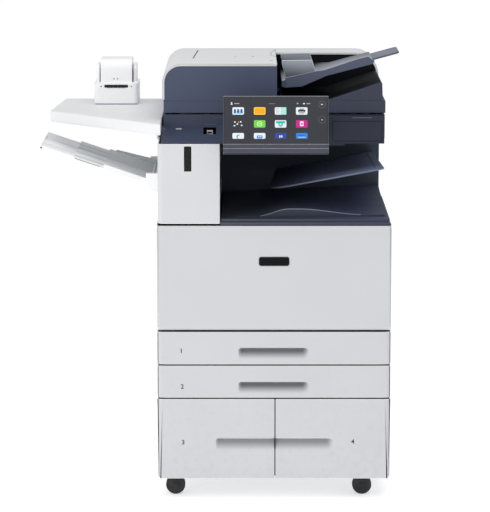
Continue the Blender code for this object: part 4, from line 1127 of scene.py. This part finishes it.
def draw_third_row(show):
    show.tile("white", 0, 2)
    show.disc("dark", 1, 0.001, -0.0005, 0.0052)
    show.disc("white", 2, 0.0025, -0.0012, 0.0044)
    show.tile("white", 1, 2)
    show.sheet("blue", 1, (-0.0075, 0.0075), (-0.0052, 0.003))
    show.disc("white", 2, -0.0025, -0.0005, 0.0018)
    show.disc("white", 2, 0.0032, -0.0005, 0.0018)
    show.tile("indigo", 2, 2)
    show.sheet("deep_blue", 1, (-0.0115, 0.0115), (-0.0055, 0.0045), 0.004)
    show.sheet("white", 2, (-0.0035, -0.0008), (-0.0035, 0.003), 0.0004)
    show.sheet("white", 2, (0.0008, 0.0045), (-0.0025, 0.003), 0.0006)
    show.tile("blue", 3, 2)
    show.sheet("pale_blue", 1, (-0.01, 0.01), (-0.003, -0.0008), 0.0008)
    show.sheet("deep_blue", 1, (-0.01, 0.007), (0.0015, 0.003), 0.0006)


def draw_status_row(show):
    show.spot = (0.0, 0.08)
    show.disc("white", 0, -0.112, 0.002, 0.0018)
    show.sheet("white", 0, (-0.1148, -0.1092), (-0.003, -0.0002), 0.0012)
    show.sheet("grey", 0, (-0.105, -0.0915), (-0.0012, 0.001), 0.0008)
    show.sheet("dim", 0, (-0.015, 0.001), (-0.0015, 0.0006), 0.0008)
    show.disc("grey", 0, 0.06, 0.0, 0.0022)
    show.sheet("white", 0, (0.074, 0.079), (-0.0018, 0.0012), 0.0008)
    show.sheet("grey", 0, (0.083, 0.093), (-0.0014, 0.0008), 0.0008)


def draw_side_keys(show):
    for z, wide in ((0.0775, 0.0034), (0.036, 0.0024)):
        show.spot = (KEY_X, z)
        show.disc("dim", 0, 0.0, 0.0, 0.0095)
        show.disc("dark", 1, 0.0, 0.0, 0.0087)
        show.disc("white", 2, 0.0, 0.0, wide / 2)
        show.sheet("white", 2, (-wide, wide), (-0.0004, 0.0004), 0.0002)


def build_display():
    show = Display()
    for draw in (draw_first_row, draw_second_row, draw_third_row, draw_status_row, draw_side_keys):
        draw(show)
    show.finish(DISPLAY_COLOURS)


def build_screen_trim():
    """Silver lines across the housing: one above the touch panel and two below it."""
    ridges = (
        ((-0.134, 0.141), (-0.0346, -0.0332), (-0.0334, -0.031), 0.0006, 3, 0.0003),
        ((-0.134, 0.141), (-0.046, -0.0448), (-0.0328, -0.031), 0.0005, 3, 0.0003),
        ((-0.1338, 0.1408), (0.095, 0.0962), (-0.0326, -0.031), 0.0005, 3, 0.0003),
    )
    built("screen_trim", "silver", "screen", add_plate, ridges, screen_frame())


def build_panel_details():
    """The memory-stick symbol, fine printed lines, and the seams and foot of the block by the screen."""
    bars = [((-0.1768, -0.1642), z, (0.099, 0.1), 0.0004, 2) for z in ((0.9712, 0.9728), (0.9788, 0.9803))]
    built("usb_mark", "pale_ink_and_highlight", "cabinet", add_plate, bars)
    over_recess = [((-0.185, -0.154), (0.9955, 0.9963), (0.1143, 0.115), 0.0003, 2)]
    built("console_line", "faint_ink_and_shadow", "cabinet", add_plate, over_recess)
    on_block = [((0.208, 0.26), (1.015, 1.0162), (0.0994, 0.1), 0.0004, 2)]
    built("panel_line", "faint_ink_and_shadow", "cabinet", add_plate, on_block)
    left, right, low, high, half = 0.156, 0.287, 0.953, 1.006, 0.0005
    strips = [((x - half, x + half), (low, high)) for x in (left, right)]
    strips += [((left, right), (z - half, z + half)) for z in (low, high)]
    outline = [(x, z, (0.0996, 0.1002), 0.0003, 2) for x, z in strips]
    # seam round the block drawn as a dark strip: painted shade of the gap
    built("panel_seam", "dark_gap", "cabinet", add_plate, outline)
    foot = [((0.141, 0.188), (0.101, 0.118), (0.9412, 0.946))]
    built("panel_foot", "panel", "cabinet", add_box, foot)


def build_console_mark():
    """The small light beside the wake button, flush with the sloping console."""
    bm = bmesh.new()
    add_plate(bm, (-0.2925, -0.2895), (-0.005, 0.005), (-0.0004, 0.0), 0.0014, 4)
    spot = Vector((0.0, MARK_Y, CONSOLE_FRONT + CONSOLE_RISE * MARK_Y / CONSOLE_RUN))
    lay = Matrix.Translation(spot) @ Matrix.Rotation(CONSOLE_SLOPE, 4, "X")
    turn_verts(bm, bm.verts[:], lay @ facing("up"))
    piece("console_mark", bm, "faint_ink_and_shadow", "cabinet")


def swept_strip(bm, path, half, thick):
    """A flat band along points in the XZ plane: half is its half width, thick its Y range."""
    rows = []
    for number, (x, z) in enumerate(path):
        before = path[max(number - 1, 0)]
        after = path[min(number + 1, len(path) - 1)]
        along = Vector((after[0] - before[0], after[1] - before[1])).normalized()
        side = Vector((-along.y, along.x)) * half
        rows.append([
            bm.verts.new((x + side.x, thick[0], z + side.y)),
            bm.verts.new((x - side.x, thick[0], z - side.y)),
            bm.verts.new((x - side.x, thick[1], z - side.y)),
            bm.verts.new((x + side.x, thick[1], z + side.y)),
        ])
    for first, second in zip(rows, rows[1:]):
        add_ring(bm, first, second)
    bm.faces.new(rows[0])
    bm.faces.new(list(reversed(rows[-1])))


def build_feeder_details():
    """White rim round the feeder's shade-painted face, and the slit, marks and latch line on its top."""
    corner = arc((-0.2475, 1.108), (0.0467, 0.0467), 180, -90, 8)[1:]
    path = [(-0.2942, 1.063), (-0.2942, 1.108), *corner, (0.007, 1.1547)]
    rim = [(path, 0.0032, (0.1117, 0.1129))]
    built("feeder_face_rim", "white", "feeder_top_cover", swept_strip, rim)
    bm = bmesh.new()
    verts = add_box(bm, (-0.0012, 0.0012), (-0.1232, 0.1232), (-0.001, 0.0004))
    turn_verts(bm, verts, Matrix.Translation(SLIT_SPOT) @ Matrix.Rotation(SLIT_TURN, 4, "Z"))
    # slit drawn as a dark box: painted shade of the opening
    piece("feeder_slit", bm, "dark_gap", "feeder_top_cover")
    marks = [((x, y, 1.158), "up", (-0.0003, 0), radius, 16)
             for x, y, radius in ((-0.103, 0.323, 0.0028), (-0.056, 0.323, 0.0042), (-0.006, 0.205, 0.004))]
    built("feeder_marks", "faint_ink_and_shadow", "feeder_top_cover", add_turned_disc, marks)
    bm = bmesh.new()
    latch = ((0.007, 0.53), (-0.006, 0.43), (-0.006, 0.355), (0.007, 0.32))
    for (x1, y1), (x2, y2) in zip(latch, latch[1:]):
        run = Vector((x2 - x1, y2 - y1))
        verts = add_box(bm, (-run.length / 2, run.length / 2), (-0.0007, 0.0007), (-0.0003, 0.0002))
        turn = Matrix.Rotation(math.atan2(run.y, run.x), 4, "Z")
        turn_verts(bm, verts, Matrix.Translation(((x1 + x2) / 2, (y1 + y2) / 2, 1.1581)) @ turn)
    piece("feeder_latch_line", bm, "faint_ink_and_shadow", "feeder_top_cover")


def upper_tray_point(x, y, up):
    """A place on the upper tray's sloping face, or just above it."""
    return (x, y, 0.83 + UPPER_TRAY_SLOPE * (x + 0.016) + up)


def build_bay_details():
    """Painted highlights: a lip at the upper tray's right end, a strip on the lower tray's rolled hump
    edge.
    """
    bm = bmesh.new()
    corners = ((0.271, 0.065), (0.2905, 0.068), (0.276, 0.42), (0.261, 0.42))
    low = [bm.verts.new(upper_tray_point(x, y, 0.0001)) for x, y in corners]
    high = [bm.verts.new(upper_tray_point(x, y, 0.0012)) for x, y in corners]
    bm.faces.new(high)
    bm.faces.new(list(reversed(low)))
    add_ring(bm, low, high)
    piece("upper_tray_lip_highlight", bm, "lip_highlight", "cabinet")
    path = []
    for step in range(41):
        x = -0.036 + 0.266 * step / 40
        rise = smooth_step((x + 0.045) / 0.085)
        fall = smooth_step((x - 0.065) / 0.175)
        path.append((x, HUMP_FOOT + HUMP_HEIGHT * rise * (1 - 0.8 * fall)))
    edge = [(path, 0.0008, (0.049, 0.0502))]
    built("hump_highlight_strip", "hump_highlight", "cabinet", swept_strip, edge)


def bypass_frame():
    return Matrix.Translation(SHIFT + BYPASS_PIVOT) @ Matrix.Rotation(BYPASS_TILT, 4, "Y")


def build_left_details():
    """Hook and slot of the bypass tray's extensions, and the stapler's teeth, lamps and painted shadow at
    its base.
    """
    hook = [((-0.3126, -0.3085), (0.156, 0.166), (-0.0165, -0.011))]
    built("bypass_hook", "black", "bypass_extension_2", add_box, hook, bypass_frame())
    # slot drawn as a dark box: painted shade of the opening
    slot = [((-0.215, -0.145), (0.1382, 0.1386), (-0.0114, -0.0102))]
    built("bypass_slot", "dark_gap", "bypass_extension_1", add_box, slot, bypass_frame())
    mouth = [((STAPLER_X + left, STAPLER_X + right), (1.0556, 1.0619), (0.4905, 0.499), 0.0008, 2)
             for left, right in ((-0.027, -0.011), (-0.008, 0.003), (0.006, 0.027))]
    built("stapler_slot_teeth", "black", "cabinet", add_plate, mouth)
    lamps = [(x, 1.079, (0.499, 0.5002), 0.0016, 12) for x in (-0.4435, -0.4335)]
    lamps += [(x, 1.0585, (0.4912, 0.4922), 0.0016, 12) for x in (-0.4795, -0.3945)]
    built("stapler_lamps", "ink", "cabinet", add_disc, lamps)
    # thin grey line along the stapler's base: painted contact shadow
    foot = [((-0.496, -0.378), (1.0084, 1.0104), (0.491, 0.4922), 0.0008, 2)]
    built("stapler_contact_shadow", "faint_ink_and_shadow", "cabinet", add_plate, foot)


def add_screw(bm, spot, direction):
    """Pan head with a cross on top."""
    def head(target):
        add_disc(target, 0.0, 0.0, (-0.0011, 0.0004), SCREW_RADIUS, 16, 0.0006)
        for wide, tall in ((0.0018, 0.0004), (0.0004, 0.0018)):
            add_plate(target, (-wide, wide), (-tall, tall), (-0.0013, -0.0008), 0.0002, 1)
    add_turned(bm, spot, direction, head)


def build_rear_details():
    """Sunk screws, a blank rating plate and the frame round the power inlet."""
    bm = bmesh.new()
    for x, z in rear_screw_spots():
        add_screw(bm, (x, REAR - 0.0016, z), "rear")
    for y in (0.06, 0.6):
        for z in (0.1, 0.7):
            add_screw(bm, (0.3103, y, z), "right")
            add_screw(bm, (-0.3103, y, z), "left")
    piece("cover_screws", bm, "steel", "cabinet")
    bm = bmesh.new()
    plate = ((-0.035, 0.035), (-0.022, 0.022), (-0.0005, 0.0), 0.003, 4)
    add_turned(bm, (INLET_X, REAR - 0.0006, 0.215), "rear", lambda target: add_plate(target, *plate))
    piece("rating_plate", bm, "silver", "cabinet")
    bm = bmesh.new()
    columns = [(INLET_X + left, INLET_X + right) for left, right in ((-0.024, -0.0205), (0.0205, 0.024))]
    add_box_frame(bm, columns, (REAR - 0.0018, REAR - 0.0001), ((0.116, 0.1194), (0.1506, 0.154)))
    piece("inlet_frame", bm, "black", "cabinet")


def build_caster_details():
    """Axle nut on both sides of every wheel."""
    for place in CASTERS:
        low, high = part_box(f"caster_{place}_wheel")
        middle = (low + high) / 2 - SHIFT
        bm = bmesh.new()
        for side, direction in ((-1, "front"), (1, "rear")):
            spot = (middle.x, middle.y + side * NUT_REACH, middle.z)
            add_turned_disc(bm, spot, direction, (-0.0016, 0.0004), 0.0062, 24, 0.0008)
        piece(f"caster_{place}_nut", bm, "black", f"caster_{place}_swivel")


# ---- floor, light and camera

def floor_material():
    """Pale matt floor with a faint glow of its own, so that it stays even."""
    shade = Shade("studio_floor")
    shade.drive("Base Color", shade.mottled(1.3, 3.0, (0.9, 0.9, 0.9), (0.92, 0.92, 0.92)))
    shade.rough(6.0, 2.0, 0.75, 0.85)
    shade.set("Emission Color", (1.0, 1.0, 1.0, 1.0))
    shade.set("Emission Strength", FLOOR_GLOW)
    return shade.material


def build_floor():
    """A level sheet that reaches past the horizon of every view."""
    bm = bmesh.new()
    corners = ((-1, -1), (1, -1), (1, 1), (-1, 1))
    bm.faces.new([bm.verts.new((x * FLOOR_REACH, y * FLOOR_REACH, -0.0002)) for x, y in corners])
    mesh = bpy.data.meshes.new("studio_floor")
    bm.to_mesh(mesh)
    bm.free()
    mesh.materials.append(floor_material())
    made = linked("studio_floor", mesh)


def area_light(name, place, aim, size, energy):
    data = bpy.data.lights.new(name, "AREA")
    data.shape = "RECTANGLE"
    data.size = size[0]
    data.size_y = size[1]
    data.energy = energy
    light = linked(name, data)
    light.location = Vector(place)
    light.rotation_euler = (Vector(aim) - Vector(place)).to_track_quat("-Z", "Y").to_euler()


def build_light():
    world = bpy.data.worlds.new("studio")
    world.use_nodes = True
    background = world.node_tree.nodes["Background"]
    background.inputs["Color"].default_value = (1.0, 1.0, 1.0, 1.0)
    background.inputs["Strength"].default_value = WORLD_LIGHT
    bpy.context.scene.world = world
    area_light("overhead", (0.3, -0.6, 4.2), (0.0, 0.2, 0.0), (4.5, 3.5), 52.0)
    area_light("front_left", (-2.5, -2.6, 2.3), (0.0, 0.0, 0.7), (1.8, 1.8), 33.0)
    bpy.context.scene.view_settings.view_transform = "Standard"


def build_camera():
    data = bpy.data.cameras.new("camera")
    data.lens = CAMERA_LENS
    data.sensor_width = 36.0
    data.clip_end = 200.0
    camera = linked("camera", data)
    camera.location = SHIFT + CAMERA_PLACE
    look = SHIFT + CAMERA_AIM - camera.location
    camera.rotation_euler = look.to_track_quat("-Z", "Y").to_euler()
    bpy.context.scene.camera = camera


build_covers()
build_front()
build_inside()
build_scanner()
build_feeder()
build_casters()
build_badge()
build_tray_numbers()
build_display()
build_screen_trim()
build_panel_details()
build_console_mark()
build_feeder_details()
build_bay_details()
build_left_details()
build_rear_details()
build_caster_details()
build_floor()
build_light()
build_camera()
